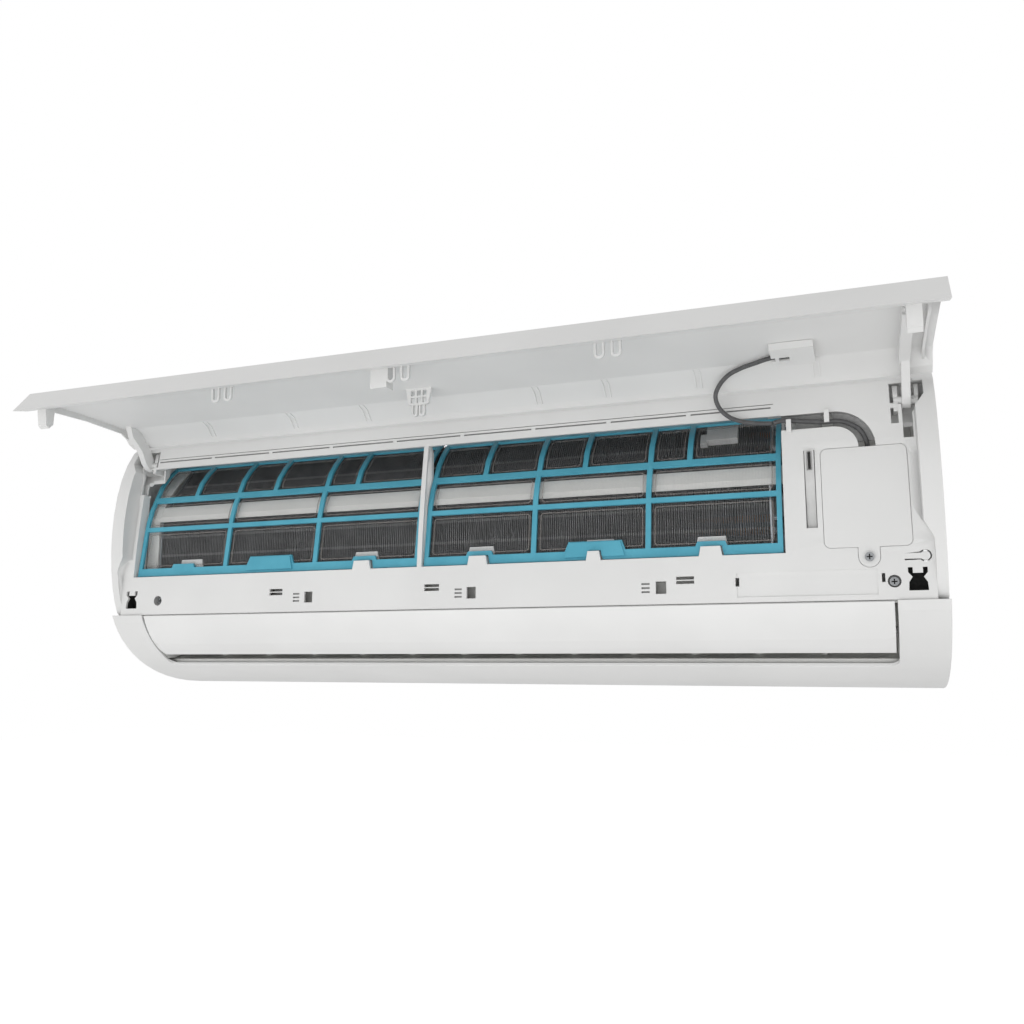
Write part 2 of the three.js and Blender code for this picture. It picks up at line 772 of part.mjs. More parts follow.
function coverOutline(grow) {
  const r = coverTongueRadius + grow;
  const corner = coverCorner + grow;
  const shape = new THREE.Shape();
  const left = coverLeft - grow;
  const right = coverRight + grow;
  const bottom = coverBottom - grow;
  const top = coverTop + grow;
  shape.moveTo(left + corner, bottom);
  shape.lineTo(coverTongueX - r, bottom);
  shape.absarc(coverTongueX, coverTongueZ, r, Math.PI, Math.PI * 2);
  shape.lineTo(coverTongueX + r, bottom);
  shape.lineTo(right - corner, bottom);
  shape.absarc(right - corner, bottom + corner, corner, -Math.PI / 2, 0);
  shape.absarc(right - corner, top - corner, corner, 0, Math.PI / 2);
  shape.absarc(left + corner, top - corner, corner, Math.PI / 2, Math.PI);
  shape.absarc(left + corner, bottom + corner, corner, Math.PI, Math.PI * 1.5);
  return shape;
}

// What lies behind the front plane by a distance, as a prism to intersect with.
function behindPlane(distance, x0, x1) {
  const line = offsetLine(frontPlane, -distance);
  const back = [point(120, -5), point(120, 220), point(line.at(-1).x, 220)];
  return runX([...back, ...[...line].reverse(), point(line[0].x, -5)], x0, x1);
}

function inFrontOfPlane(x0, x1) {
  const line = [...frontPlane].reverse();
  const front = [point(-60, 190), point(-60, -20), point(frontPlane[0].x, -20)];
  return runX([...front, ...line.reverse(), point(20, 190)], x0, x1);
}

// The body of the front case: outer skin, recess, rims and hollow inside.
function frontShell() {
  const skin = [...upperNose, ...upperTop.slice(1), point(lowerBack, FIT), point(9, FIT), point(6, 3)];
  const recessWindow = [
    point(-rimInner, 60),
    point(-rimInnerLow, 46),
    point(-rimInnerLow, -20),
    point(rimInnerLow, -20),
    point(rimInnerLow, 46),
    point(rimInner, 60),
    point(rimInner, 200),
    point(-rimInner, 200),
  ];
  const recess = inFrontOfPlane(-caseHalf, caseHalf).intersect(runY(recessWindow, -60, 60));
  const band = [...frontPlane.slice(0, 3), point(12, frontPlane[2].y), point(12, FIT)];
  const body = join(
    cut(runX([...skin].reverse(), -upperHalf, upperHalf), recess),
    runX([...band].reverse(), -rimInnerLow, rimInnerLow),
  );
  const hollow = [
    ...planeInner.slice(1),
    ...topInner.slice(2),
    point(lowerBack + 2, caseTop - caseWall),
    point(lowerBack + 2, -2),
    point(12, -2),
    point(12, 13),
  ];
  const foot = block(-rimInnerLow, rimInnerLow, planeInner[0].x, 13, -2, planeInner[1].y);
  const rimHollow = [
    ...noseInner.slice(1),
    point(60, noseInner.at(-1).y),
    point(60, 12),
    point(planeAt(12), 12),
  ];
  const rims = [-1, 1].map((side) => {
    const a = side * (rimInnerLow + caseWall);
    const b = side * (upperHalf - caseWall);
    return runX([...rimHollow].reverse(), Math.min(a, b), Math.max(a, b));
  });
  const middle = runX([...hollow].reverse(), -upperHalf + caseWall, upperHalf - caseWall);
  return cut(body, middle, foot, ...rims);
}

// The Y-shaped mouth and the slot that a hinge arm swings through, in (x, z).
function hingeMouth(side) {
  const at = (x, z) => point(side * (armMiddle + x), z);
  const outline = [
    at(-12.4, 176),
    at(-12.4, 159),
    at(-3.8, 157.5),
    at(-3.8, 129),
    at(3.8, 129),
    at(3.8, 150),
    at(12.6, 163),
    at(12.6, 176),
  ];
  return side > 0 ? outline : outline.reverse();
}

const pocketLeft = armMiddle - 14.9;
const pocketRight = armMiddle + 15;
const cheekOuter = [armMiddle + 6.2, armMiddle + 9.2];
const cheekInner = [armMiddle - 9.8, armMiddle - 6.2];
const pocketBack = 33;

// Narrow slots beside the hinge arms that open into the pockets.
const hingeSlots = () =>
  [-1, 1].map((side) => {
    const x = side * (armMiddle - 9.4);
    return block(x - 2.8, x + 2.8, -10, 20, 141.5, 155);
  });

// A pocket behind the front plane with two cheeks that carry the hinge pin.
function hingePocket(side) {
  const span = (a, b) => [Math.min(side * a, side * b), Math.max(side * a, side * b)];
  const [w0, w1] = span(pocketLeft, pocketRight);
  const outside = runX(
    [point(6, 126), point(22, 126), point(24, 140), point(33, 152), point(33, 178.5), point(6, 178.5)],
    w0, w1,
  );
  const inside = runX(
    [point(0, 128), point(20, 128), point(22, 141), point(31, 153), point(31, 176.5), point(0, 176.5)],
    ...span(pocketLeft + 2, pocketRight - 2),
  );
  const behind = behindPlane(caseWall - 0.4, w0, w1);
  const hollowPart = behindPlane(caseWall, w0 - 1, w1 + 1);
  const cheeks = [cheekInner, cheekOuter].map(([a, b]) =>
    cut(
      block(...span(a, b), 8, pocketBack - 1, 152, 174),
      rodX(span(a, b)[0] - 1, span(a, b)[1] + 1, hingeY, hingeZ, pinRadius + boreClearance, 16),
    ).intersect(behindPlane(1, w0, w1)),
  );
  const walls = cut(outside.intersect(behind), inside.intersect(hollowPart));
  return { walls, cheeks, inside: inside.intersect(hollowPart) };
}

const catchTop = 25; // top of the catch holes

// The catch holes near the seam, the windows and the clip ports of the lower band.
function lowerBandHoles() {
  const holes = [];
  for (const x of [-201, -33, 199.5]) {
    holes.push(block(x - 7.5, x + 7.5, -5, 12, 16.8, 19.5));
    holes.push(block(x - 7.5, x + 7.5, -5, 12, 20.3, 23));
  }
  for (const x of [-164, 6.5, 179.2]) {
    holes.push(block(x - 4.5, x + 4.5, -5, 12, 9, 19.5));
  }
  for (const side of [-1, 1]) {
    const at = (x, z) => point(side * (armMiddle - 0.4) + x, z);
    const catchHole = [
      at(-7, 7),
      at(7, 7),
      at(6.6, 13.5),
      at(4, 17.5),
      at(7, 21),
      at(7, catchTop),
      at(3.6, catchTop),
      at(3.6, 20.5),
      at(-3.6, 20.5),
      at(-3.6, catchTop),
      at(-7, catchTop),
      at(-7, 21),
      at(-4, 17.5),
      at(-6.6, 13.5),
    ];
    holes.push(runY(catchHole, -8, 7));
  }
  for (const x of [-177.6, -6.3, 166.1]) {
    for (let i = 0; i < 3; i++) {
      const z = 10 + i * 3.4;
      holes.push(block(x - 3.5, x + 3.5, 0, 4.2, z, z + 1.6));
    }
  }
  holes.push(block(240.5, 243.5, -5, 12, 13.5, 20.5));
  holes.push(block(352, 354.5, -5, 12, 14, 21));
  const ledge = block(241.5, 349, -10, 40, 4.6, 24.6);
  holes.push(cut(ledge, behindPlane(1, 240, 350)), tongueSlot());
  return holes;
}

// Slots through the roof of the case, in rows between cross bars.
function roofSlots() {
  const slots = [];
  const columns = 10;
  const pitch = (2 * upperHalf - 48) / columns;
  const rows = [62, 89, 116, 143];
  const slotLong = pitch - 9;
  const slotDeep = 19;
  for (let c = 0; c < columns; c++) {
    const x = (c - (columns - 1) / 2) * pitch;
    for (const y of rows) slots.push(block(x - slotLong / 2, x + slotLong / 2, y, y + slotDeep, 192, 220));
  }
  return slots;
}

// Thin grooves along the rail: short ones with a bridge every so often, and one long line.
function railGrooves() {
  const grooves = [];
  const count = 9;
  const left = windowLeft + 12;
  const right = windowRight - 6;
  const step = (right - left) / count;
  for (let i = 0; i < count; i++) {
    const x = left + i * step;
    grooves.push(block(x + 2, x + step - 2, 0, 30, ...railGroove));
  }
  grooves.push(block(left, right, 0, 30, ...railLine));
  return grooves.map((groove) => cut(groove, behindPlane(grooveDepth, left - 1, right + 1)));
}

// The keyhole-shaped slot round a springy tongue over the right catch hole, in (x, z).
function tongueSlot() {
  const left = armMiddle - 9.2;
  const middle = armMiddle + 5.6;
  const height = catchTop + 8.65;
  const radius = 4.2;
  const stem = 2.7; // half height of the stem's middle line
  const half = 0.55; // half width of the slot
  const turn = Math.PI - Math.asin(stem / radius);
  const shape = new THREE.Shape();
  shape.moveTo(left, height + stem + half);
  shape.absarc(middle, height, radius + half, turn, -turn, true);
  shape.lineTo(left, height - stem - half);
  shape.lineTo(left, height - stem + half);
  shape.absarc(middle, height, radius - half, -turn, turn);
  shape.lineTo(left, height + stem - half);
  return runY(shape, -8, 8, 5);
}

const caseScrews = [55 - upperHalf, armMiddle - 17.4];
const caseScrewZ = 14.5;

// Brackets under the rail, at the left end of the window and at the post.
function gussets() {
  const outlines = [
    [
      point(windowLeft - 1, windowTop + 2),
      point(windowLeft - 1, 140),
      point(windowLeft + 12, 139),
      point(windowLeft + 24, windowTop + 2),
    ],
    [
      point(postLeft, windowTop + 4),
      point(postLeft, 143),
      point(postRight + 8, 140),
      point(postRight + 17, windowTop + 4),
    ],
  ];
  return outlines.map((outline) => {
    const x0 = outline[0].x;
    const x1 = outline[3].x;
    return runY([...outline].reverse(), 10, 22).intersect(
      cut(behindPlane(0.6, x0, x1), behindPlane(4, x0, x1)),
    );
  });
}

// Blind cups behind the catch holes at the ends.
function catchCups() {
  return [-1, 1].map((side) => {
    const x = side * (armMiddle - 0.4);
    const cup = block(x - 9, x + 9, 0, 17, 4.5, 27.5).intersect(behindPlane(1, x - 9, x + 9));
    const inside = block(x - 7.4, x + 7.4, 0, 15.4, 6.1, 25.9);
    return cut(cup, inside.intersect(behindPlane(caseWall, x - 8, x + 8)));
  });
}

// A finger beside the cable in its channel, with a tip in front of the cable. The heights are
// from the channel's middle.
const clipWidth = 4;
const clipLeft = partition - 1.8;
const clipRight = coverLeft + 4.3;

function cableClip(x, [z0, z1], [tip0, tip1], tipFront) {
  const tipBack = tipFront + 1.9;
  return join(
    block(x, x + clipWidth, tipFront, channelFloor + 1, channelMiddle + z0, channelMiddle + z1),
    block(x, x + clipWidth, tipFront, tipBack, channelMiddle + tip0, channelMiddle + tip1),
  );
}

// The hole through the channel's floor behind a finger, which lets it be moulded.
const clipHole = (x, z0, z1) =>
  block(x - 2, x + clipWidth + 2.5, 18, 30, channelMiddle + z0, channelMiddle + z1);

function frontCase() {
  const shell = frontShell();
  const pockets = [-1, 1].map(hingePocket);
  const channelTrough = runY(channelOutline(2), 5, channelFloor + 2).intersect(
    behindPlane(caseWall - 0.4, partition - 27, upperHalf - 29),
  );
  const filterWindows = [
    block(windowLeft, postLeft, -10, 26, windowBottom, windowTop),
    block(postRight, windowRight, -10, 26, windowBottom, windowTop),
  ];
  const ledgeRing = runY(coverOutline(2.5), 0, 40)
    .intersect(coverSlab(0.4, caseWall + 1.6));
  const coverSeat = runY(coverOutline(0.35), -10, 40).intersect(
    coverSlab(-60, coverThickness + FIT),
  );
  const coverMouth = runY(
    roundedRect(coverLeft + 4, coverRight - 4, coverBottom + 4, coverTop - 4, coverCorner),
    -10,
    40,
  );
  const boss = rodY(5, boxFront - FIT, coverTongueX, coverTongueZ, 4.6).intersect(
    behindPlane(1, coverTongueX - 15, coverTongueX + 15),
  );
  const screwHole = rodY(-5, 24, coverTongueX, coverTongueZ, screwShank + boreClearance, 12);
  const slotHole = block(slotLeft, slotRight, -5, 20, slotBottom, slotBottom + slotHeight);
  const screwBosses = caseScrews.map((x) => rodY(3, 14, x, caseScrewZ, 6.5));
  const counterbores = caseScrews.map((x) => rodY(-5, 9, x, caseScrewZ, 5, 20));
  const screwHoles = caseScrews.map((x) => rodY(-5, 17, x, caseScrewZ, screwShank + boreClearance, 12));
  const post = runX(
    [
      point(3.8, 36),
      point(7, 36),
      point(16, 44),
      point(19.4, 98),
      point(19.8, 106),
      point(23, 116.5),
      point(28, 126),
      point(28, 150),
      point(21, 163),
      point(17.6, 161),
      point(23, 150),
      point(23.5, 126),
      point(20, 116.5),
      point(16.5, 106),
      point(14.5, 96),
      point(12, 44),
      point(4.1, 39.5),
    ],
    postLeft, postRight,
  );
  const jambs = [windowLeft - 2, windowRight].map((x) =>
    block(x, x + 2, -10, 20.8, windowBottom - 2, windowTop + 2).intersect(behindPlane(1, x, x + 2)),
  );
  let body = join(
    shell,
    jambs,
    gussets(),
    catchCups(),
    pockets.map((p) => p.walls),
    channelTrough,
    ledgeRing,
    boss,
    screwBosses,
    post,
  );
  body = cut(
    body,
    filterWindows.map((w) => cut(w, post)),
    railGrooves(),
    roofSlots(),
    lowerBandHoles(),
    coverSeat,
    coverMouth,
    screwHole,
    slotHole,
    counterbores,
    screwHoles,
    runY(channelOutline(0), -10, channelFloor),
    block(channelDown - 6, channelDown + 6, 5, channelFloor + 5, boxTop, channelBendZ + 6.5),
    clipHole(clipLeft, -6.3, 0.9),
    clipHole(clipRight, -6.3, 5.9),
    pockets.map((p) => p.inside),
    hingeSlots(),
    runY(hingeMouth(1), -60, 24),
    runY(hingeMouth(-1), -60, 24),
  );
  const hooks = [
    cableClip(clipLeft, [-9, -0.1], [-9, 2.4], 12.4),
    cableClip(clipRight, [0.9, 8], [-2.3, 8], 12.8),
  ];
  return join(body, pockets.map((p) => p.cheeks), hooks, caseTabs());
}

// ---- Filters ---------------------------------------------------------------------------

const leftFilter = {
  span: [windowLeft + 2, postLeft - 0.6],
  steps: [{ x: windowLeft + 58.5, half: 9 }, { x: postLeft - 58.5, half: 8, open: true }],
  handle: windowLeft + 164.5,
};
const rightFilter = {
  span: [postRight + 0.6, windowRight - 2],
  steps: [
    { x: postRight + 56, half: 8, open: true },
    { x: windowRight - 60, half: 8, open: true },
  ],
  handle: windowRight - 160.5,
  notchInHandle: true,
};

const filterPath = new THREE.CatmullRomCurve3(
  [
    [7.4, 40.3],
    [11, 66],
    [14.8, 93],
    [18.5, 109],
    [26.5, 126],
    [35, 143.5],
    [47, 157],
    [60, 168],
    [82, 180.5],
    [112, 190],
    [146, 194.5],
  ].map(([y, z]) => new THREE.Vector3(0, y, z)),
  false,
  "centripetal",
);

const filterSteps = 60;
const filterLine = filterPath.getSpacedPoints(filterSteps).map((p) => point(p.y, p.z));

// The part of the filter's path between two heights, thinned to the points its bend needs.
function pathBetween(z0, z1) {
  const at = (z) => {
    const i = Math.max(1, filterLine.findIndex((p) => p.y >= z));
    const lo = filterLine[i - 1];
    const hi = filterLine[i];
    const t = (z - lo.y) / (hi.y - lo.y);
    return point(lo.x + (hi.x - lo.x) * t, z);
  };
  const between = filterLine.filter((p) => p.y > z0 + 1 && p.y < z1 - 1);
  const thinned = between.filter((p, i) => i % 4 === 2);
  return [at(z0), ...thinned, at(z1)];
}

function strip(z0, z1, front, back, x0, x1) {
  const line = pathBetween(z0, z1);
  const outline = [...offsetLine(line, front), ...offsetLine(line, -back).reverse()];
  return runX([...outline].reverse(), x0, x1);
}

const filterRows = [
  [48.5, 88.5],
  [93, 121.5],
  [127, 163.5],
  [169, 180],
  [183.5, 191],
];

// A trapezoid with a foot of one width and a head of another, in (x, z).
function trapezoid(middle, footHalf, headHalf, bottom, top) {
  return [
    point(middle - footHalf, bottom),
    point(middle + footHalf, bottom),
    point(middle + headHalf, top),
    point(middle - headHalf, top),
  ];
}

// Where the ribs stand across a filter, and where the short ribs of the top row halve a column.
const filterColumns = [0, 0.333, 0.655, 1];
const topRibs = [0.5, 0.42, 0.31];
const halfRib = (ribs, i) => ribs[i - 1] + topRibs[i - 1] * (ribs[i] - ribs[i - 1]);

// A bent lattice of three columns, the upper rows split into six. Its lower rail steps up over the
// tabs of the case and carries a handle.
function filterFrame(left, right, { steps, handle, notchInHandle }) {
  const ribs = filterColumns.map((part) => left + part * (right - left));
  const sheet = (x0, x1) => strip(40.4, 66, 0, filterThickness, x0, x1);
  let frame = strip(40.4, 194.2, 0, filterThickness, left, right);
  filterRows.forEach(([z0, z1], row) => {
    const spots = row < 2 ? ribs : ribs.flatMap((x, i) => (i ? [halfRib(ribs, i), x] : [x]));
    for (let c = 0; c + 1 < spots.length; c++) {
      const x0 = spots[c] + (c === 0 ? filterBorder : filterRib / 2);
      const x1 = spots[c + 1] - (c + 2 === spots.length ? filterBorder : filterRib / 2);
      frame = cut(frame, strip(z0, z1, 4, 6, x0, x1));
    }
  });
  const raised = [
    ...steps.map(({ x, half }) => trapezoid(x, half + 7, half + 3.5, 44, railStep)),
    trapezoid(handle, 29, 24, 44, handleTop),
  ].map((outline) => runY(outline, -10, 40).intersect(sheet(left, right)));
  const lip = runY(trapezoid(handle, 27, 23, 43, handleTop - 1), -10, 40)
    .intersect(strip(41, 66, 1.4, 1, left, right));
  const notches = [
    ...steps.filter(({ open }) => open).map(({ x, half }) => notch(x, half)),
    ...(notchInHandle ? [notch(handle, handleNotch)] : []),
  ];
  return cut(join(frame, raised, lip), notches);
}

const railStep = 52.5; // height that the lower rail steps up to over a tab
const handleTop = 57;
const tabTop = 47.6; // top of the case's tabs
const sillTop = 38.6; // ledge under the filters
const sillBack = 15.2;
const capTop = 57; // top of the tabs behind the filters
const tabSlope = 2.8; // how much narrower a tab is at its top, on each side
const handleNotch = 5;

// The cut in the lower rail round a tab of the case.
function notch(x, half) {
  const gap = 0.8;
  return runY(trapezoid(x, half + tabSlope + gap, half + gap, 35, tabTop + gap), -10, 40);
}

// The tabs of the case that stand before the filters' lower rails, and the caps behind them.
function caseTabs() {
  const fronts = [...leftFilter.steps, ...rightFilter.steps]
    .filter(({ open }) => open)
    .map(({ x, half }) => trapezoid(x, half + tabSlope, half, windowBottom - 6, tabTop));
  fronts.push(
    trapezoid(rightFilter.handle, handleNotch + tabSlope, handleNotch, windowBottom - 6, tabTop),
  );
  const caps = [...leftFilter.steps, ...rightFilter.steps].map(({ x, half, open }) => {
    const shift = open ? 0 : 7;
    return trapezoid(x + shift, half + 7, half + 3.5, sillTop - 1, capTop);
  });
  caps.push(trapezoid(rightFilter.handle + 4, 17, 12, sillTop - 1, capTop + 1.5));
  const sill = block(windowLeft, windowRight, 4, sillBack, sillTop - 2, sillTop);
  return [
    fronts.map((outline) => runY(outline, 3.4, 6.4)),
    caps.map((outline) => runY(outline, sillBack - 1.6, sillBack)),
    sill.intersect(behindPlane(1, windowLeft, windowRight)),
  ];
}

const filterNetSheet = (left, right) =>
  strip(42, 192, -filterThickness - 0.3, filterThickness + 0.8, left + 2, right - 2);

// ---- Electrics -------------------------------------------------------------------------

function electricalBox() {
  const outside = block(boxLeft, boxRight, boxFront, boxBack, boxBottom, boxTop);
  const inside = block(
    boxLeft + boxWall,
    boxRight - boxWall,
    boxFront - 1,
    boxBack - boxWall,
    boxBottom + boxWall,
    boxTop - boxWall,
  );
  const cableHole = block(
    channelDown - 5, channelDown + 5, boxFront - 1, boxFront + 12, boxTop - boxWall - 1, boxTop + 1,
  );
  return cut(join(cut(outside, inside)), cableHole);
}

function controlBoard() {
  const back = boxBack - boxWall - FIT;
  const standoffs = [
    [boxLeft + 8, boxBottom + 8],
    [boxLeft + 8, boxTop - 8],
    [boxLeft + 42, boxBottom + 8],
    [boxLeft + 42, boxTop - 8],
  ].map(([x, z]) => rodY(back - 5, back, x, z, 2, 8));
  const board = block(boxLeft + 4, boxLeft + 46, back - 6.4, back - 4.8, boxBottom + 4, boxTop - 4);
  const parts = [
    block(boxLeft + 8, boxLeft + 26, back - 22, back - 6, boxBottom + 10, boxBottom + 30),
    block(boxLeft + 30, boxLeft + 42, back - 18, back - 6, boxBottom + 12, boxBottom + 26),
    rodY(back - 24, back - 6, boxLeft + 16, boxBottom + 48, 6, 12),
    rodY(back - 20, back - 6, boxLeft + 34, boxBottom + 50, 4, 12),
    block(boxLeft + 10, boxLeft + 20, back - 12, back - 6, boxBottom + 66, boxBottom + 74),
    block(boxLeft + 26, boxLeft + 42, back - 10, back - 6, boxBottom + 66, boxBottom + 72),
  ];
  return join(board, standoffs, parts);
}

function terminalBlock() {
  const back = boxBack - boxWall - FIT;
  const left = boxRight - 38;
  const right = boxRight - 6;
  let body = block(left, right, back - 20, back, 50, 76);
  for (let i = 0; i < 4; i++) {
    const x = left + 1.6 + i * 7.6;
    body = cut(body, block(x, x + 6, back - 21, back - 8, 48, 58));
    body = cut(body, block(x, x + 6, back - 21, back - 8, 68, 78));
  }
  return body;
}

const coverSlab = (front, back) => {
  const span = [coverLeft - 11, coverRight + 9];
  return cut(behindPlane(front, ...span), behindPlane(back, ...span));
};

function serviceCover() {
  const plate = runY(coverOutline(0), -10, 40).intersect(coverSlab(0, coverThickness));
  return cut(plate, rodY(-5, 20, coverTongueX, coverTongueZ, screwShank + boreClearance, 12));
}

// A pan-head screw with a cross recess, driven along +Y.
function screw(x, z, seat, length) {
  const head = rodY(seat - FIT - 2.2, seat - FIT, x, z, screwHead, 16);
  const shank = rodY(seat - FIT - 1, seat + length, x, z, screwShank, 10);
  const slotA = block(x - 2.2, x + 2.2, seat - 4, seat - FIT - 1.2, z - 0.5, z + 0.5);
  const slotB = block(x - 0.5, x + 0.5, seat - 4, seat - FIT - 1.2, z - 2.2, z + 2.2);
  return cut(join(head, shank), slotA, slotB);
}

// The strip in the upright slot, with a bay for the room sensor at its top.
function sensorClip() {
  const front = planeAt(slotBottom + slotHeight / 2) + 1.5;
  const top = slotBottom + slotHeight;
  const strip0 = block(slotLeft + 0.6, slotRight - 0.6, front, front + 2, slotBottom + 0.4, top - 0.4);
  const flanges = block(slotLeft - 2.5, slotRight + 2.5, 15.6, 17.4, slotBottom - 2, top + 1);
  const web = block(slotLeft + 1, slotRight - 1, front + 1, 16, slotBottom + 2, slotBottom + 40);
  const bay = block(slotLeft + 2, slotRight - 2, front - 1, front + 1.2, slotBottom + 48, slotBottom + 64);
  const upper = block(slotLeft + 1, slotRight - 1, front + 1, 16, slotBottom + 56, slotBottom + 63);
  return cut(join(strip0, flanges, web, upper), bay);
}

function roomSensor() {
  const x = (slotLeft + slotRight) / 2;
  const front = planeAt(slotBottom + slotHeight / 2) + 1.5;
  return rodZ(slotBottom + 49, slotBottom + 63, x, front - 0.3, 1.1, 10);
}

// A grey box clipped to the coil behind the right filter.
function airSensorBox() {
  const tilt = -0.63;
  const body = join(block(-13.5, 13.5, -3.4, 3.4, -8.5, 8.5), block(-19, -13, -2, 3.4, -11, 1));
  return body.rotate([(tilt * 180) / Math.PI, 0, 0]).translate([coilRight - 40.5, 55.2, 152.7]);
}

// ---- Front panel -----------------------------------------------------------------------

const panelInner = [
  point(-140, 185.2),
  point(-123.5, 189.1),
  point(-112, 194.2),
  point(-103, 197.6),
  point(-96.3, 198.9),
  point(-53, 198.2),
  point(-9.3, 196.6),
  point(-0.8, 193.6),
  point(7.5, 184.5),
  point(15.5, 180.8),
];
const panelOuter = [
  point(16.8, 183.4),
  point(11, 190.8),
  point(4, 197.2),
  point(-7, 200.2),
  point(-53, 202.4),
  point(-96, 204.2),
  point(-122, 206.8),
];

function frontPanel() {
  const outline = [...panelInner, ...panelOuter];
  const body = runX(outline, -upperHalf, upperHalf);
  const lipOutline = [
    point(-140, 185.2),
    point(-123.5, 189.1),
    point(-113, 194),
    point(-113, 205.9),
    point(-122, 206.8),
  ];
  const lip = runX(lipOutline, -lipHalf, lipHalf);
  const sideRibs = [-1, 1].map((side) => {
    const rib = [
      point(-100, 192.5),
      point(-60, 193.5),
      point(-12, 191.5),
      point(-3, 187),
      point(0, 193.8),
      point(-9, 198),
      point(-96, 200.5),
      point(-108, 197),
    ];
    const a = side * (upperHalf - 8.5);
    const b = side * (upperHalf - 6.5);
    return runX(rib, Math.min(a, b), Math.max(a, b));
  });
  return join(body, lip, sideRibs, panelArms(), panelClips(), panelCatches(), middleBracket(), rootRibs());
}

// The hinge arms, from the panel's root down to a foot with a pin through it.
function panelArms() {
  const arms = [-1, 1].map((side) => {
    const arm = [
      point(hingeY + 4.5, hingeZ - 4.5),
      point(hingeY + 6, hingeZ + 2),
      point(19, 169.5),
      point(17, 173.5),
      point(8, 187),
      point(6, 199),
      point(-18, 199.4),
      point(-13, 187),
      point(2, 174),
      point(9, 162),
      point(hingeY - 5.5, hingeZ - 4.8),
    ];
    const [x0, x1] = [Math.min(side * armInner, side * armOuter), Math.max(side * armInner, side * armOuter)];
    const web = join(runX(arm, x0, x1), rodX(x0, x1, hingeY, hingeZ, 6.4, 20));
    const pinReach = [cheekInner[0] + FIT, cheekOuter[1] - FIT];
    const pinSpan = pinReach.map((x) => side * x);
    const pin = rodX(Math.min(...pinSpan), Math.max(...pinSpan), hingeY, hingeZ, pinRadius, 16);
    return join(web, pin);
  });
  const longRib = runX(
    [point(-102, 190.5), point(-18, 186), point(-4, 184), point(-2, 199), point(-97, 200.5)],
    armInner - 1.6, armOuter,
  );
  return join(arms, longRib);
}

// Pairs of U-shaped clips along the lower edge, one above each clip port.
function panelClips() {
  const loops = [];
  for (const centre of [-179.5, -7, 168.5]) {
    for (const dx of [-6.5, 6.5]) {
      const loop = roundedRect(centre + dx - 4, centre + dx + 4, 177.5, 200, 3.9);
      const gap = roundedRect(centre + dx - 2.4, centre + dx + 2.4, 179.5, 196, 2.3);
      loops.push(runY(loop, -121.5, -119, 3).subtract(runY(gap, -125, -115, 3)));
    }
    loops.push(block(centre - 12, centre + 12, -121.5, -117.5, 191, 202));
  }
  loops.push(block(-32, -17, -121.5, -110, 174, 200));
  return loops;
}

// Hooks at the two lower corners, over the catch holes.
function panelCatches() {
  return [-1, 1].map((side) => {
    const hook = [
      point(-127, 187),
      point(-125, 173),
      point(-121.5, 170.5),
      point(-117, 175),
      point(-116, 200),
      point(-127, 200),
    ];
    const a = side * (armMiddle - 3.4);
    const b = side * (armMiddle + 6.6);
    return runX(hook, Math.min(a, b), Math.max(a, b));
  });
}

// A gridded bracket on the underside of the panel, beside the middle post.
function middleBracket() {
  const y = -35;
  const outline = [
    point(-43, 199),
    point(-40, 183),
    point(-36, 182),
    point(-24, 182),
    point(-20, 183),
    point(-17, 199),
  ];
  let plate = runY(outline.reverse(), y - 1.5, y + 1.5);
  for (let c = 0; c < 3; c++) {
    for (let r = 0; r < 2; r++) {
      const x = -37.5 + c * 5.8;
      const z = 184.2 + r * 6.6;
      plate = cut(plate, block(x, x + 4, y - 5, y + 5, z, z + 4.9));
    }
  }
  const prongs = [-33.6, -26.4].map((x) => {
    const loop = roundedRect(x - 3, x + 3, 171.5, 184, 2.9);
    const gap = roundedRect(x - 1.4, x + 1.4, 173.5, 182.5, 1.3);
    return runY(loop, y - 1.5, y + 1.5, 3).subtract(runY(gap, y - 5, y + 5, 3));
  });
  return join(plate, prongs);
}

// Thin pairs of ribs across the band at the panel's root.
function rootRibs() {
  const band = [
    point(-9, 195.6),
    point(-1.4, 192.8),
    point(6.9, 183.8),
    point(8.2, 185),
    point(0, 194.6),
    point(-9, 197.6),
  ];
  return [-287.6, -187.5, -105, 71, 135.4, 215.5, 311.5].flatMap((x) =>
    [-2.5, 2.5].map((dx) => runX(band, x + dx - 0.5, x + dx + 0.5)),
  );
}

// Height of the display housing's top at a depth, a little below the panel's inner face.
const displayTop = (y) => 196.6 - ((y + 9.3) * 1.6) / 43.7 - FIT;

// A slab that follows the panel's inner face, between two distances below it.
function underPanel(x0, x1, y0, y1, near, far) {
  const outline = [
    point(y0, displayTop(y0) - near),
    point(y1, displayTop(y1) - near),
    point(y1, displayTop(y1) - far),
    point(y0, displayTop(y0) - far),
  ];
  return runX(outline, x0, x1);
}

// A shallow housing on the panel's inside, open towards the panel, with an entry for the cable.
function displayHolder() {
  const body = underPanel(displayLeft, displayRight, displayFront, displayBack, 0, displayDrop);
  const inside = underPanel(
    displayLeft + 2, displayRight - 2, displayFront + 2, displayBack - 2, -1, displayDrop - 1.6,
  );
  const slot = block(displayLeft - 1, displayLeft + 14, ...displaySlot, 180, 210);
  const bridge = underPanel(
    displayLeft + 3, displayLeft + 6, displaySlot[0] - 1, displaySlot[1] + 1, displayDrop - 0.6, displayDrop,
  );
  return join(cut(body, inside, slot), bridge);
}

function displayBoard() {
  const left = displayLeft + 3;
  const right = displayRight - 3;
  const back = displaySlot[0] - 1.4;
  const plate = underPanel(left, right, displayFront + 4, back, displayDrop - 3.6, displayDrop - 1.9);
  const lamps = underPanel(left + 5, right - 5, displayFront + 6, back - 4, 0.6, displayDrop - 3);
  return join(plate, lamps);
}

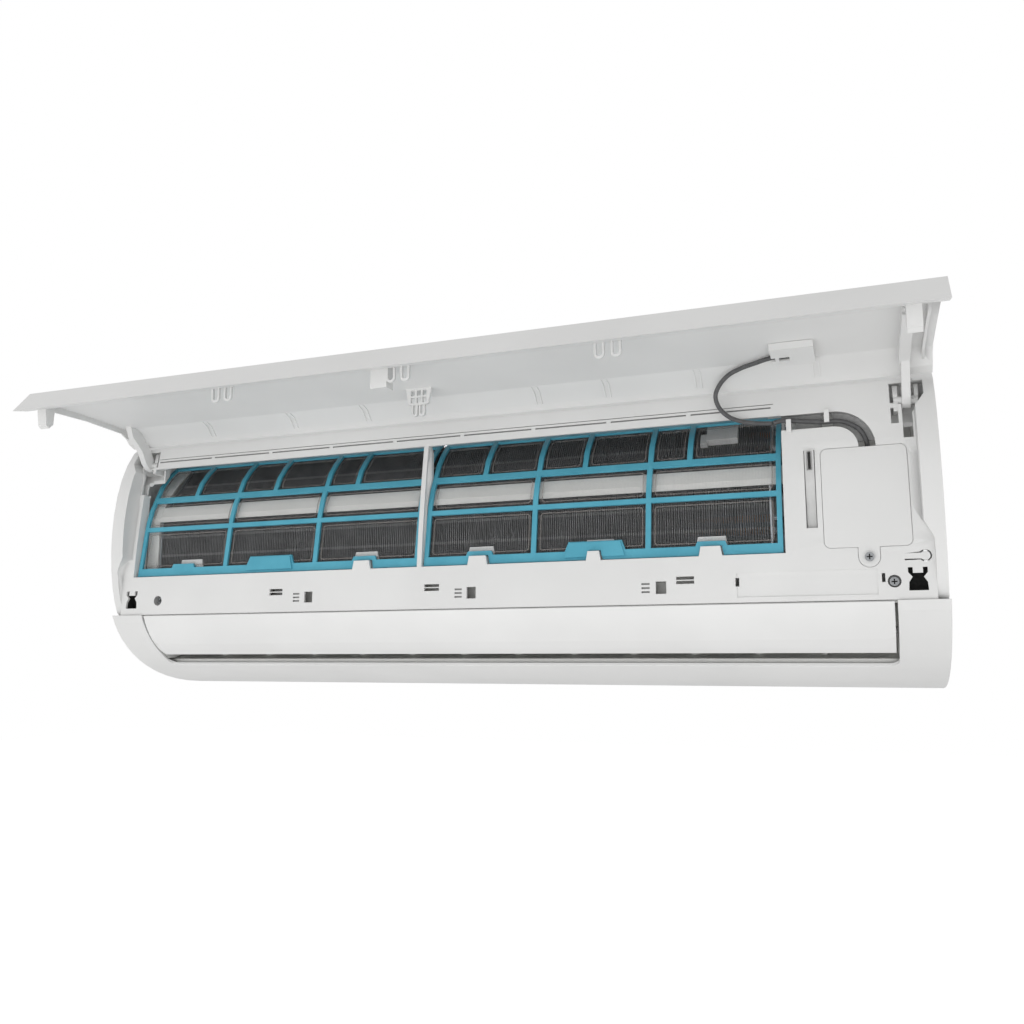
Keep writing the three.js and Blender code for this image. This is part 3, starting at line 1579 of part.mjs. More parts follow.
// Points of the cables across from the partition, behind the nose and over the seam.
const atBay = ([x, y, z]) => [partition + x, y, z];
const cableLoop = [
  [4, -27.6, 193.9],
  [-3, -27.4, 194],
  [-11, -24.5, 193.9],
  [-22.4, -17, 193.6],
  [-34.7, -10, 192.6],
  [-45.6, -4, 189.6],
  [-53.2, 0, 183.4],
  [-57.5, 4, 175.5],
  [-55.7, 7.5, 166.5],
  [-48.7, 10, 158.4],
  [-38.9, 12, 153.6],
  [-27.4, 13.8, 151.2],
  [-13, 15.8, 150.2],
].map(atBay);
const cableRun = [
  [-12.1, 15.87, 150.25],
  [-6, 16.4, 151.9],
  [10, 17, 150.4],
  [27, 17, 148.2],
  [42, 18, 147.6],
  [55, 19, 140],
  [60, 20, 129],
  [60, 24, 119],
  [57, 34, 107],
  [47, 42, 100],
].map(atBay);

const displayCableLoop = () => tube(spline(cableLoop), cableRadius, 8, 36);
const displayCableRun = () => tube(spline(cableRun), cableRadius, 8, 24);

// ---- Assembly --------------------------------------------------------------------------


addPiece(unit, "mounting_plate", mountingPlate(), galvanisedSteel);
addPiece(unit, "rear_chassis", rearChassis(), warmWhitePlastic);
addPiece(unit, "lower_case", lowerCase(), whitePlastic);
addPiece(unit, "front_case", frontCase(), whitePlastic);
addPiece(unit, "outlet_duct", outletDuct(), greyPlastic);
addPiece(unit, "louver", louver(), whitePlastic);
addPiece(unit, "louver_motor", louverMotor(), greyPlastic);
for (let i = 0; i < vaneCount; i++) {
  addPiece(unit, `vane_${String(i + 1).padStart(2, "0")}`, vane(vaneX(i)), greyPlastic);
}
addPiece(unit, "vane_link_left", vaneLink(0, vaneCount / 2 - 1), greyPlastic);
addPiece(unit, "vane_link_right", vaneLink(vaneCount / 2, vaneCount - 1), greyPlastic);
addPiece(unit, "crossflow_fan", crossflowFan(), blackPlastic);
addPiece(unit, "motor_shaft", motorShaft(), screwSteel);
addPiece(unit, "fan_bearing", fanBearing(), blackPlastic);
addPiece(unit, "fan_motor", fanMotor(), galvanisedSteel);
addPiece(unit, "motor_clamp", motorClamp(), warmWhitePlastic);
addPiece(unit, "evaporator_lower", finPack(lowerSlab), finAluminium);
addPiece(unit, "evaporator_upper", finPack(upperSlab), finAluminium);
addPiece(unit, "evaporator_rear", finPack(rearSlab), finAluminium);
addPiece(unit, "coil_end_plate_left", endPlateLeft(), galvanisedSteel);
addPiece(unit, "coil_end_plate_right", endPlateRight(), copper);
addPiece(unit, "coil_gap_strip", coilGapStrip(), whitePlastic);
for (const p of pipes) addPiece(unit, p.name, pipe(p), copper);
addPiece(unit, "filter_frame_left", filterFrame(...leftFilter.span, leftFilter), filterBlue);
addPiece(unit, "filter_frame_right", filterFrame(...rightFilter.span, rightFilter), filterBlue);
addPiece(unit, "filter_net_left", filterNetSheet(...leftFilter.span), filterNet);
addPiece(unit, "filter_net_right", filterNetSheet(...rightFilter.span), filterNet);
addPiece(unit, "electrical_box", electricalBox(), greyPlastic);
addPiece(unit, "control_board", controlBoard(), boardGreen);
addPiece(unit, "terminal_block", terminalBlock(), blackPlastic);
addPiece(unit, "service_cover", serviceCover(), whitePlastic);
addPiece(unit, "cover_screw", screw(coverTongueX, coverTongueZ, planeAt(coverTongueZ), 12), screwSteel);
addPiece(unit, "case_screw_left", screw(caseScrews[0], caseScrewZ, 9, 11), screwSteel);
addPiece(unit, "case_screw_right", screw(caseScrews[1], caseScrewZ, 9, 11), screwSteel);
addPiece(unit, "sensor_clip", sensorClip(), greyPlastic);
addPiece(unit, "room_sensor", roomSensor(), blackPlastic);
addPiece(unit, "air_sensor_box", airSensorBox(), greyPlastic);
addPiece(unit, "front_panel", frontPanel(), whitePlastic);
addPiece(unit, "display_holder", displayHolder(), whitePlastic);
addPiece(unit, "display_board", displayBoard(), boardGreen);
addPiece(unit, "display_cable_loop", displayCableLoop(), cableGrey);
addPiece(unit, "display_cable_run", displayCableRun(), cableGrey);

unit.position.set(0, -wallDepth, -plateCentre);

export default unit;
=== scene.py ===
import math
import random

import bmesh
import bpy
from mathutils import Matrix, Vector


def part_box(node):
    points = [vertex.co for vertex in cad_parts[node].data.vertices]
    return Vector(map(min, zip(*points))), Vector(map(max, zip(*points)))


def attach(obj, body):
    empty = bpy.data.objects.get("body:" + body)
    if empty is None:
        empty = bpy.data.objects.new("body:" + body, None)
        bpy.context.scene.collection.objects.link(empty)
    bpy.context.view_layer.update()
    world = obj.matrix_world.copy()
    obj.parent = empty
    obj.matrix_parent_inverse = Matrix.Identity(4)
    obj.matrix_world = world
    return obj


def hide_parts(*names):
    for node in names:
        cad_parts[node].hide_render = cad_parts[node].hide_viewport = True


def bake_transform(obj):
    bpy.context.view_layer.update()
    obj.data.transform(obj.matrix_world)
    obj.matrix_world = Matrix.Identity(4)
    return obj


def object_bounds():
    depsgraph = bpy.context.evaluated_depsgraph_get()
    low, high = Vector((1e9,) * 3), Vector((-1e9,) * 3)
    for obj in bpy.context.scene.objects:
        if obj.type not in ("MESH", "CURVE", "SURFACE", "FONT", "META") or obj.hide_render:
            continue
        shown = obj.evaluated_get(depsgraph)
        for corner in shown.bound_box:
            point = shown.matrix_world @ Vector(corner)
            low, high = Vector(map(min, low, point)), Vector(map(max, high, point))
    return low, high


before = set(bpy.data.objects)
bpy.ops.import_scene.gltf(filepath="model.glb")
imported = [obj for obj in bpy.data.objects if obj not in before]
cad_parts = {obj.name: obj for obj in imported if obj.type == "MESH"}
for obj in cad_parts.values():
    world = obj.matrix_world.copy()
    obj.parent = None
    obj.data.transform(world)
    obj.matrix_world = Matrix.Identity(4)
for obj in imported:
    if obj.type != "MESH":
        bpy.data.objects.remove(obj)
cad_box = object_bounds()

# ---- Camera ----------------------------------------------------------------------------
# The photograph is taken from low down and to the right of the middle, looking back to the
# left and up under the open panel, with an ordinary lens.

tilt_up = 8.884
turn_left = 20.53
camera = bpy.data.objects.new("camera", bpy.data.cameras.new("camera"))
camera.data.lens = 33.10
camera.data.sensor_width = 36
camera.data.clip_start = 0.01
camera.location = (0.3391, -0.9753, -0.1150)
camera.rotation_euler = (math.radians(90 + tilt_up), 0, math.radians(turn_left))
bpy.context.collection.objects.link(camera)
bpy.context.scene.camera = camera
bpy.context.scene.view_settings.view_transform = "Standard"

# ---- Display cable ---------------------------------------------------------------------
# Leads in a round grey PVC sleeve, 3.8 mm across. They leave the display housing under the
# panel, hang in a loose loop that lets the panel open, and are then pressed into the channel
# of the front case and led down into the electrical box.


def linear(colour):
    """The linear RGBA of an sRGB hex colour."""
    parts = [int(colour[i : i + 2], 16) / 255 for i in (0, 2, 4)]
    parts = [c / 12.92 if c <= 0.04045 else ((c + 0.055) / 1.055) ** 2.4 for c in parts]
    return (*parts, 1)


def add(material, kind, settings, inputs):
    """Adds a node, sets its properties and fills its inputs with values or links."""
    node = material.node_tree.nodes.new("ShaderNode" + kind)
    for name, value in settings.items():
        setattr(node, name, value)
    for name, value in inputs.items():
        if isinstance(value, bpy.types.NodeSocket):
            material.node_tree.links.new(value, node.inputs[name])
        else:
            node.inputs[name].default_value = value
    return node


def new_material(name, inputs):
    """A material with one Principled shader, and the object's own coordinates in metres."""
    material = bpy.data.materials.new(name)
    material.use_nodes = True
    material.node_tree.nodes.clear()
    shader = add(material, "BsdfPrincipled", {}, inputs)
    add(material, "OutputMaterial", {}, {"Surface": shader.outputs[0]})
    place = add(material, "TexCoord", {}, {}).outputs["Object"]
    return material, shader, place


def tint(material, shader, fac, colours, spots):
    """Leads a factor through a colour ramp into the shader's colour."""
    ramp = add(material, "ValToRGB", {}, {"Fac": fac})
    elements = ramp.color_ramp.elements
    while len(elements) < len(colours):
        elements.new(0.5)
    for element, spot, colour in zip(elements, spots, colours):
        element.position = spot
        element.color = linear(colour)
    material.node_tree.links.new(ramp.outputs["Color"], shader.inputs["Base Color"])


def emboss(material, shader, height, relief):
    """Gives the shader a relief, from a height between 0 and 1 and a depth in millimetres."""
    node = add(
        material, "Bump", {}, {"Strength": 1.0, "Distance": relief / 1000, "Height": height}
    )
    material.node_tree.links.new(node.outputs["Normal"], shader.inputs["Normal"])


def across(millimetres):
    """The scale of a noise or a cell pattern whose grains are so many millimetres across."""
    return 1000 / millimetres


def clouded(name, inputs, grain, detail, colours, relief, spots=(0.3, 0.7)):
    """A material with clouds of one grain in millimetres, in its colour and its relief."""
    material, shader, place = new_material(name, inputs)
    cloud = add(
        material, "TexNoise", {}, {"Vector": place, "Scale": across(grain), "Detail": detail}
    )
    tint(material, shader, cloud.outputs[0], colours, spots)
    emboss(material, shader, cloud.outputs[0], relief)
    return material


def new_piece(name, vertices, faces, material, body, slot, replaces=(), smooth=True):
    """A mesh piece in one material that rides on a body, if it is given one; the slot is not
    used.
    """
    mesh = bpy.data.meshes.new(name)
    mesh.from_pydata(vertices, [], faces)
    mesh.materials.append(material)
    mesh.validate()
    if smooth:
        mesh.shade_smooth()
    piece = bpy.data.objects.new(name, mesh)
    bpy.context.collection.objects.link(piece)
    if body:
        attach(piece, body)
    if replaces:
        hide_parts(*replaces)
    return piece


# Soft PVC: dark grey with a dull sheen, and dents where the cores under it press through.
cable_pvc = clouded(
    "soft_pvc_sleeve",
    {"Roughness": 0.55, "IOR": 1.53, "Specular IOR Level": 0.4},
    grain=3.85,
    detail=3,
    colours=["4C4C4D", "5C5C5D"],
    relief=0.15,
)

case_origin = Vector((0, -0.195, -0.070))  # nose and seam of the case, where lengths start


def case_point(point):
    """A point in metres from millimetres across, behind the nose and over the seam."""
    return case_origin + Vector(point) / 1000


loop_route = [
    (291, -27.6, 193.9),
    (284, -27.4, 194),
    (276, -24.5, 193.9),
    (264.6, -17, 193.6),
    (252.3, -10, 192.6),
    (241.4, -4, 189.6),
    (233.8, 0, 183.4),
    (229.5, 4, 175.5),
    (231.3, 7.5, 166.5),
    (238.3, 10, 158.4),
    (248.1, 12, 153.6),
    (259.6, 13.8, 151.2),
    (274, 15.8, 150.2),
]
run_route = [
    (274.9, 15.87, 150.25),
    (281, 16.4, 151.9),
    (297, 17, 150.4),
    (314, 17, 148.2),
    (329, 18, 147.6),
    (342, 19, 140),
    (347, 20, 129),
    (347, 24, 119),
    (344, 34, 107),
    (334, 42, 100),
]


def spline(points, steps):
    """Points of a centripetal Catmull-Rom curve through the given ones."""
    points = [Vector(p) for p in points]
    points = [2 * points[0] - points[1], *points, 2 * points[-1] - points[-2]]
    line = []
    for a, b, c, d in zip(points, points[1:], points[2:], points[3:]):
        t1 = (b - a).length ** 0.5
        t2 = t1 + (c - b).length ** 0.5
        t3 = t2 + (d - c).length ** 0.5
        for i in range(steps):
            t = t1 + (t2 - t1) * i / steps
            ab = a * ((t1 - t) / t1) + b * (t / t1)
            bc = b * ((t2 - t) / (t2 - t1)) + c * ((t - t1) / (t2 - t1))
            cd = c * ((t3 - t) / (t3 - t2)) + d * ((t - t2) / (t3 - t2))
            abc = ab * ((t2 - t) / t2) + bc * (t / t2)
            bcd = bc * ((t3 - t) / (t3 - t1)) + cd * ((t - t1) / (t3 - t1))
            line.append(abc * ((t2 - t) / (t2 - t1)) + bcd * ((t - t1) / (t2 - t1)))
    return [*line, points[-2]]


def tube(line, radius, sides):
    """Vertices and faces of a closed round tube along a line, turning as little as it can."""
    vertices = []
    faces = []
    side = None
    for i, point in enumerate(line):
        along = (line[min(i + 1, len(line) - 1)] - line[max(i - 1, 0)]).normalized()
        if side is None:
            side = along.orthogonal()
        side = (side - along * side.dot(along)).normalized()
        upward = along.cross(side)
        for k in range(sides):
            angle = 2 * math.pi * k / sides
            vertices.append(
                point + (side * math.cos(angle) + upward * math.sin(angle)) * radius
            )
        if i:
            for k in range(sides):
                j = (k + 1) % sides
                low = (i - 1) * sides
                faces.append((low + k, low + j, low + sides + j, low + sides + k))
    last = len(vertices) - sides
    faces.append(tuple(reversed(range(sides))))
    faces.append(tuple(range(last, last + sides)))
    return vertices, faces


cable_radius = 0.0019
cable_sides = 14
loop_line = spline([case_point(p) for p in loop_route], 6)
run_line = spline([case_point(p) for p in run_route], 6)
cable_loop = new_piece(
    "cable_loop",
    *tube(loop_line, cable_radius, cable_sides),
    cable_pvc,
    None,
    "cable_grey",
    ["display_cable_loop"],
)
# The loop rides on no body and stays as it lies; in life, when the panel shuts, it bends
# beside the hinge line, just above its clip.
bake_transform(cable_loop)
new_piece(
    "cable_run",
    *tube(run_line, cable_radius, cable_sides),
    cable_pvc,
    "unit",
    "cable_grey",
    ["display_cable_run"],
)

# ---- Mounting plate --------------------------------------------------------------------
# Galvanised sheet, punched and folded on a press, and screwed to the wall. The unit hangs
# on its two hooks.


def dress(node, material):
    """Gives a CAD node a finished material."""
    for material_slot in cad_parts[node].material_slots:
        material_slot.material = material


# Hot-dip galvanised steel: a dull bluish grey with spangles some 7 mm across.
galvanised, shader, place = new_material(
    "galvanised_steel_sheet", {"Metallic": 1.0, "Roughness": 0.42}
)
spangle = add(
    galvanised, "TexVoronoi", {"feature": "F1"}, {"Vector": place, "Scale": across(7.15)}
)
tint(galvanised, shader, spangle.outputs["Distance"], ["B9BEC2", "A6ABB0"], [0.0, 0.6])
emboss(galvanised, shader, spangle.outputs["Distance"], 0.05)
dress("mounting_plate", galvanised)

# ---- Rear chassis ----------------------------------------------------------------------
# One large moulding in white high-impact polystyrene: back wall, fan scroll, rear drip tray
# and end walls. The duct, coil, fan and both cases are clipped or screwed to it.

same_point = 1e-6  # metres
flat_angle = 0.4  # degrees


def softened(node, name, body, material, edge=0.0, angle=28):
    """A copy of a node's mesh with flat faces joined, smooth curves and rounded edges.

    A crease sharper than the angle, in degrees, stays sharp, or is rounded to the width of
    the edge, in metres.
    """
    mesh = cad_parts[node].data.copy()
    mesh.name = name
    shape = bmesh.new()
    shape.from_mesh(mesh)
    bmesh.ops.remove_doubles(shape, verts=shape.verts, dist=same_point)
    bmesh.ops.dissolve_limit(
        shape, angle_limit=math.radians(flat_angle), verts=shape.verts, edges=shape.edges
    )
    shape.to_mesh(mesh)
    shape.free()
    mesh.materials.clear()
    mesh.materials.append(material)
    mesh.shade_smooth()
    if mesh.has_custom_normals:
        mesh.normals_split_custom_set([(0, 0, 0)] * len(mesh.loops))
    mesh.set_sharp_from_angle(angle=math.radians(angle))
    piece = bpy.data.objects.new(name, mesh)
    bpy.context.collection.objects.link(piece)
    if edge:
        rounding = piece.modifiers.new("rounding", "BEVEL")
        rounding.width = edge
        rounding.segments = 2
        rounding.angle_limit = math.radians(angle)
        rounding.use_clamp_overlap = True
        rounding.harden_normals = True
    even = piece.modifiers.new("even_normals", "WEIGHTED_NORMAL")
    even.keep_sharp = True
    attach(piece, body)
    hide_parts(node)
    return piece


# High-impact polystyrene, moulded in a plain polished tool: off-white with a low gloss and
# faint flow marks some 40 mm long.
chassis_plastic = clouded(
    "white_polystyrene",
    {"Roughness": 0.45, "IOR": 1.59, "Specular IOR Level": 0.45},
    grain=40,
    detail=2,
    colours=["D9D9D6", "DFDFDC"],
    relief=0.2,
    spots=(0.35, 0.65),
)
softened("rear_chassis", "chassis_moulding", "unit", chassis_plastic)

# ---- Fan, motor and bearing ------------------------------------------------------------
# The crossflow fan is moulded in short glass-filled rings that are welded end to end. It
# turns in a rubber bearing at the left and on the motor's shaft at the right.

# Glass-filled styrene: dark grey and dull, mottled where the fibres come to the surface.
fan_plastic = clouded(
    "glass_filled_styrene",
    {"Roughness": 0.6, "IOR": 1.57, "Specular IOR Level": 0.4},
    grain=2.5,
    detail=4,
    colours=["3A3C3E", "484A4C"],
    relief=0.1,
)
for node in ("crossflow_fan", "fan_bearing"):
    dress(node, fan_plastic)

wave_phase = 20  # radians that a wave texture turns through in one unit of its scale


def waves(millimetres):
    """The scale of a wave texture whose crests are so many millimetres apart."""
    return 2 * math.pi / wave_phase * across(millimetres)


# Turned steel: bright, with the rings of the tool, which are some 0.2 mm apart and are drawn
# 3.93 mm apart so that they show.
turned_steel, shader, place = new_material(
    "turned_steel", {"Metallic": 1.0, "Roughness": 0.28, "Base Color": linear("9C9EA0")}
)
rings = add(
    turned_steel, "TexWave", {"bands_direction": "X"}, {"Vector": place, "Scale": waves(3.93)}
)
emboss(turned_steel, shader, rings.outputs["Fac"], 0.03)
dress("motor_shaft", turned_steel)
for node in ("fan_motor", "motor_clamp"):
    dress(node, galvanised)

# ---- Coil ------------------------------------------------------------------------------
# Three slabs of thin aluminium fins on copper tubes. The tubes are expanded into the fins
# and brazed to hairpin bends outside the end plates.

# Aluminium fin stock: mill finish, dark grey from its water-shedding coat, in patches some
# 14 mm across. At each row of tubes, every 20 mm, a painted highlight stands for the light on
# the fins' edges.
fin_stock, shader, place = new_material(
    "aluminium_fin_stock", {"Metallic": 0.3, "Roughness": 0.5}
)
dirt = add(fin_stock, "TexNoise", {}, {"Vector": place, "Scale": across(14.3), "Detail": 5.0})
highlight_row_phase = -1.12  # sets how high the painted highlight rows lie
row = add(
    fin_stock,
    "TexWave",
    {"bands_direction": "Z"},
    {
        "Vector": place,
        "Scale": waves(19.9),
        "Distortion": 0.4,
        "Detail": 2.0,
        "Detail Scale": 30.0,
        "Phase Offset": highlight_row_phase,
    },
)
# Painted highlight: the fins are drawn lighter along each row of tubes.
painted_row_highlight = add(
    fin_stock,
    "MapRange",
    {},
    {"Value": row.outputs["Fac"], "From Min": 0.93, "From Max": 1.0, "To Max": 0.55},
)
dirt_and_painted_highlight = add(fin_stock, "Math", {"operation": "ADD"}, {0: dirt.outputs[0], 1: painted_row_highlight.outputs[0]})
tint(
    fin_stock,
    shader,
    dirt_and_painted_highlight.outputs[0],
    ["38393A", "525354", "686969", "8E8F8F"],
    [0.3, 0.5, 0.72, 1.0],
)
emboss(fin_stock, shader, dirt.outputs[0], 0.2)

# Each slab is the line of its outer face, from its lower to its upper edge, in millimetres
# behind the nose and over the seam. The real fins are 1.4 mm apart; here they are 2 mm
# apart, so that single fins can be told apart.
coil_left, coil_right = -361, 268
slab_depth = 25
fin_gap = 2.0
fin_thickness = 0.4
fin_steps = 9
lean_kept = 0.7  # share of a fin's lean that the next fin takes over
lean_change = 0.28
slabs = {
    "lower": ((24, 36), (24, 103)),
    "upper": ((35, 118), (72, 169)),
    "rear": ((110, 178), (168, 122)),
}
bent = random.Random(4)
for slab, (low, high) in slabs.items():
    start = Vector((0, *low))
    along = Vector((0, *high)) - start
    inward = Vector((0, along.z, -along.y)).normalized() * slab_depth
    vertices = []
    faces = []
    lean = [0.0] * fin_steps
    x = coil_left + fin_gap / 2
    while x < coil_right - fin_gap / 2:
        lean = [lean_kept * old + bent.uniform(-lean_change, lean_change) for old in lean]
        first = len(vertices)
        for i in range(fin_steps):
            spot = start + along * (i / (fin_steps - 1))
            for depth, shift in ((0.0, lean[i]), (1.0, 0.0)):
                for side in (-0.5, 0.5):
                    edge = Vector((x + shift + side * fin_thickness, 0, 0))
                    vertices.append(case_point(spot + inward * depth + edge))
        for i in range(fin_steps - 1):
            a = first + 4 * i
            for j, k in ((0, 1), (1, 3), (3, 2), (2, 0)):
                faces.append((a + j, a + k, a + 4 + k, a + 4 + j))
        last = first + 4 * (fin_steps - 1)
        faces.append((first, first + 2, first + 3, first + 1))
        faces.append((last, last + 1, last + 3, last + 2))
        x += fin_gap
    new_piece(
        "fins_" + slab,
        vertices,
        faces,
        fin_stock,
        "unit",
        "coil_fins",
        ["evaporator_" + slab],
        smooth=False,
    )

# Soft copper, drawn: pinkish, with darker patches where it has been handled.
copper = clouded(
    "drawn_copper",
    {"Metallic": 1.0, "Roughness": 0.3},
    grain=16.7,
    detail=4,
    colours=["B87246", "C98A5C"],
    relief=0.08,
)
tube_radius = 0.0035
tube_sides = 12
tube_spots = [
    (36, 41.5), (36, 62.5), (37, 73.5), (37, 94.5),
    (46, 112), (58, 128), (66, 139), (78, 155),
    (104, 166), (118, 152), (128, 141), (142, 127),
]
vertices = []
faces = []
for y, z in tube_spots:
    ends = [case_point((x, y, z)) for x in (coil_left, coil_right)]
    rod_vertices, rod_faces = tube(ends, tube_radius, tube_sides)
    faces += [tuple(len(vertices) + i for i in face) for face in rod_faces]
    vertices += rod_vertices
new_piece("coil_tubes", vertices, faces, copper, "unit", "copper")
for node in ("coil_end_plate_left", "coil_end_plate_right"):
    dress(node, galvanised)

# ---- Pipe stubs ------------------------------------------------------------------------
# The same copper, bent, with a nut at each end for the pipes from outside.

for node in ("liquid_pipe", "gas_pipe"):
    dress(node, copper)

# ---- Outlet duct, vanes and louver motor -----------------------------------------------
# The duct is a white moulding that clips to the chassis. Twelve vanes snap into it and are
# driven together by two link bars; a small stepper motor turns the louver.

softened("outlet_duct", "duct_moulding", "unit", chassis_plastic)
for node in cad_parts:
    if node.startswith("vane_") or node == "coil_gap_strip":
        dress(node, chassis_plastic)

# Grey nylon, moulded: middle grey and half matt.
grey_nylon = clouded(
    "grey_nylon",
    {"Roughness": 0.5, "IOR": 1.53, "Specular IOR Level": 0.4},
    grain=8.33,
    detail=3,
    colours=["8E8F8F", "A0A1A1"],
    relief=0.1,
)
dress("louver_motor", grey_nylon)

# ---- Cases -----------------------------------------------------------------------------
# The lower case and the front case are moulded in white ABS. They meet at the seam over the
# louver and are held by clips and two screws.

# ABS from a spark-eroded tool: off-white and satin. Its grain of 0.3 mm is drawn 0.83 mm
# wide so that it breaks up the highlights, and the colour drifts over some 110 mm.
white_abs, shader, place = new_material(
    "white_abs", {"Roughness": 0.42, "IOR": 1.54, "Specular IOR Level": 0.4}
)
skin = add(white_abs, "TexNoise", {}, {"Vector": place, "Scale": across(0.833), "Detail": 2.0})
drift = add(white_abs, "TexNoise", {}, {"Vector": place, "Scale": across(111), "Detail": 2.0})
tint(white_abs, shader, drift.outputs[0], ["DBDBDA", "E0E0DF"], [0.35, 0.65])
emboss(white_abs, shader, skin.outputs[0], 0.03)
softened("lower_case", "lower_case_moulding", "unit", white_abs, edge=0.0004)
front_case = softened("front_case", "front_case_moulding", "unit", white_abs)

# Painted shade: matt, mottled some 2.5 mm across. The catch holes and the screws' recesses are
# painted nearly black as shade, and the grooves, ports, cable channel and counterbores middle
# grey.
hole_painted_shade = clouded(
    "painted_shade_in_the_holes",
    {"Roughness": 0.9, "IOR": 1.5},
    grain=2.5,
    detail=3,
    colours=["1C1C1C", "2C2C2B"],
    relief=0.2,
)
groove_painted_shade = clouded(
    "painted_shade_in_the_grooves",
    {"Roughness": 0.85, "IOR": 1.5},
    grain=2.5,
    detail=3,
    colours=["9A9A9A", "A8A8A7"],
    relief=0.2,
)


def line_with(piece, material, boxes):
    """Gives another material to a piece's faces whose middles lie in boxes, in millimetres."""
    piece.data.materials.append(material)
    spot = len(piece.data.materials) - 1
    for face in piece.data.polygons:
        x, y, z = (face.center - case_origin) * 1000
        for x0, x1, y0, y1, z0, z1 in boxes:
            if x0 < x < x1 and y0 < y < y1 and z0 < z < z1:
                face.material_index = spot


# Boxes round the case's hollows: left, right, front, back, bottom and top.
catch_holes = [(x - 8, x + 8, 5, 17, 5.5, 26.5) for x in (-378, 378)]
tongue_slot = (368, 389.5, 3.9, 8, 28, 39.5)
rail_grooves = [(-372, 276, 17.5, 20.6, z0, z1) for z0, z1 in ((163.3, 164.9), (166.8, 167.6))]
ribbed_ports = [(x - 3.6, x + 3.6, 2.95, 4.3, 9.9, 18.5) for x in (-177.6, -6.3, 166.1)]
cable_channel = [(271, 354, 15.6, 22.4, 142.5, 156.5), (340, 354, 13.5, 22.4, 124, 156.5)]
counterbores = [(x - 5.2, x + 5.2, 4.5, 9.2, 9.3, 19.7) for x in (-344, 361)]
# The hollows of the case take the painted shade, faces picked by the boxes above.
line_with(front_case, hole_painted_shade, [*catch_holes, tongue_slot])
line_with(
    front_case, groove_painted_shade, [*rail_grooves, *ribbed_ports, *cable_channel, *counterbores]
)

# ---- Louver ----------------------------------------------------------------------------
# A curved blade in polished white ABS that closes the air outlet and swings down on a pin
# at each end.

# The same ABS from a polished tool: whiter and glossier, with a faint flow some 70 mm long.
polished_abs = clouded(
    "polished_white_abs",
    {"Roughness": 0.34, "IOR": 1.54, "Specular IOR Level": 0.45},
    grain=71.4,
    detail=2,
    colours=["E0E0DF", "E4E4E3"],
    relief=0.2,
    spots=(0.35, 0.65),
)
softened("louver", "louver_blade", "louver", polished_abs, angle=50)

# ---- Electrical box --------------------------------------------------------------------
# A flame-resistant box with the control board on pillars and the terminal block for the
# mains and outdoor leads.

softened("electrical_box", "electrical_tray", "unit", chassis_plastic)

# Glass-epoxy board under green solder resist: glossy dark green fields, with the gaps
# between the copper areas showing through as thin lighter lines.
board_resist, shader, place = new_material(
    "green_circuit_board", {"Roughness": 0.35, "IOR": 1.5, "Specular IOR Level": 0.5}
)
tracks = add(
    board_resist, "TexBrick", {"offset": 0.5}, {"Vector": place, "Scale": across(5.56)}
)
tracks.inputs["Color1"].default_value = linear("1F5A33")
tracks.inputs["Color2"].default_value = linear("22633A")
tracks.inputs["Mortar"].default_value = linear("3F8A55")
board_resist.node_tree.links.new(tracks.outputs["Color"], shader.inputs["Base Color"])
emboss(board_resist, shader, tracks.outputs["Fac"], 0.04)
dress("control_board", board_resist)
dress("display_board", board_resist)
dress("terminal_block", grey_nylon)

# ---- Sensors ---------------------------------------------------------------------------
# A bead sensor in a clip stands in the upright slot beside the cover, and a small grey box
# on the coil feels the air before the filter.

# Natural nylon: a pale, slightly waxy grey.
pale_nylon = clouded(
    "natural_nylon",
    {"Roughness": 0.45, "IOR": 1.53, "Specular IOR Level": 0.4},
    grain=11.1,
    detail=3,
    colours=["C6C6C5", "D4D4D3"],
    relief=0.1,
)
dress("sensor_clip", pale_nylon)
dress("air_sensor_box", pale_nylon)

# Black acetal, moulded: nearly black, with a soft sheen.
black_acetal = clouded(
    "black_acetal",
    {"Roughness": 0.5, "IOR": 1.48, "Specular IOR Level": 0.4},
    grain=3.33,
    detail=2,
    colours=["141414", "222222"],
    relief=0.1,
)
dress("room_sensor", black_acetal)

# ---- Service cover and screws ----------------------------------------------------------
# A flat white lid over the electrical box, held by one screw through its tongue. The case
# has a screw at each end.

softened("service_cover", "service_lid", "unit", white_abs, edge=0.0003)

# Zinc-plated steel: slightly blue, with a fine grain that dulls it.
plated_steel = clouded(
    "zinc_plated_steel",
    {"Metallic": 1.0, "Roughness": 0.38},
    grain=1.11,
    detail=2,
    colours=["8A8C8E", "9C9EA0"],
    relief=0.03,
)
recess_half = 2.3
recess_start = 0.1
recess_end = 1.1
for node in ("cover_screw", "case_screw_left", "case_screw_right"):
    screw = softened(node, node + "_pan_head", "unit", plated_steel)
    low, high = [(Vector(corner) - case_origin) * 1000 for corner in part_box(node)]
    x, z = (low.x + high.x) / 2, (low.z + high.z) / 2
    across_recess = (x - recess_half, x + recess_half)
    into_recess = (low.y + recess_start, low.y + recess_end)
    up_recess = (z - recess_half, z + recess_half)
    # The cross recess of each head is painted dark as shade.
    line_with(screw, hole_painted_shade, [(*across_recess, *into_recess, *up_recess)])

# ---- Filters ---------------------------------------------------------------------------
# Two washable air filters that bend up over the coil. A blue polypropylene lattice is
# moulded round a fine nylon net.

# Polypropylene, moulded: a waxy middle blue that drifts a little, with soft highlights.
blue_polypropylene = clouded(
    "blue_polypropylene",
    {"Roughness": 0.4, "IOR": 1.49, "Specular IOR Level": 0.4},
    grain=25,
    detail=3,
    colours=["4A9EB5", "56AAC0"],
    relief=0.2,
)

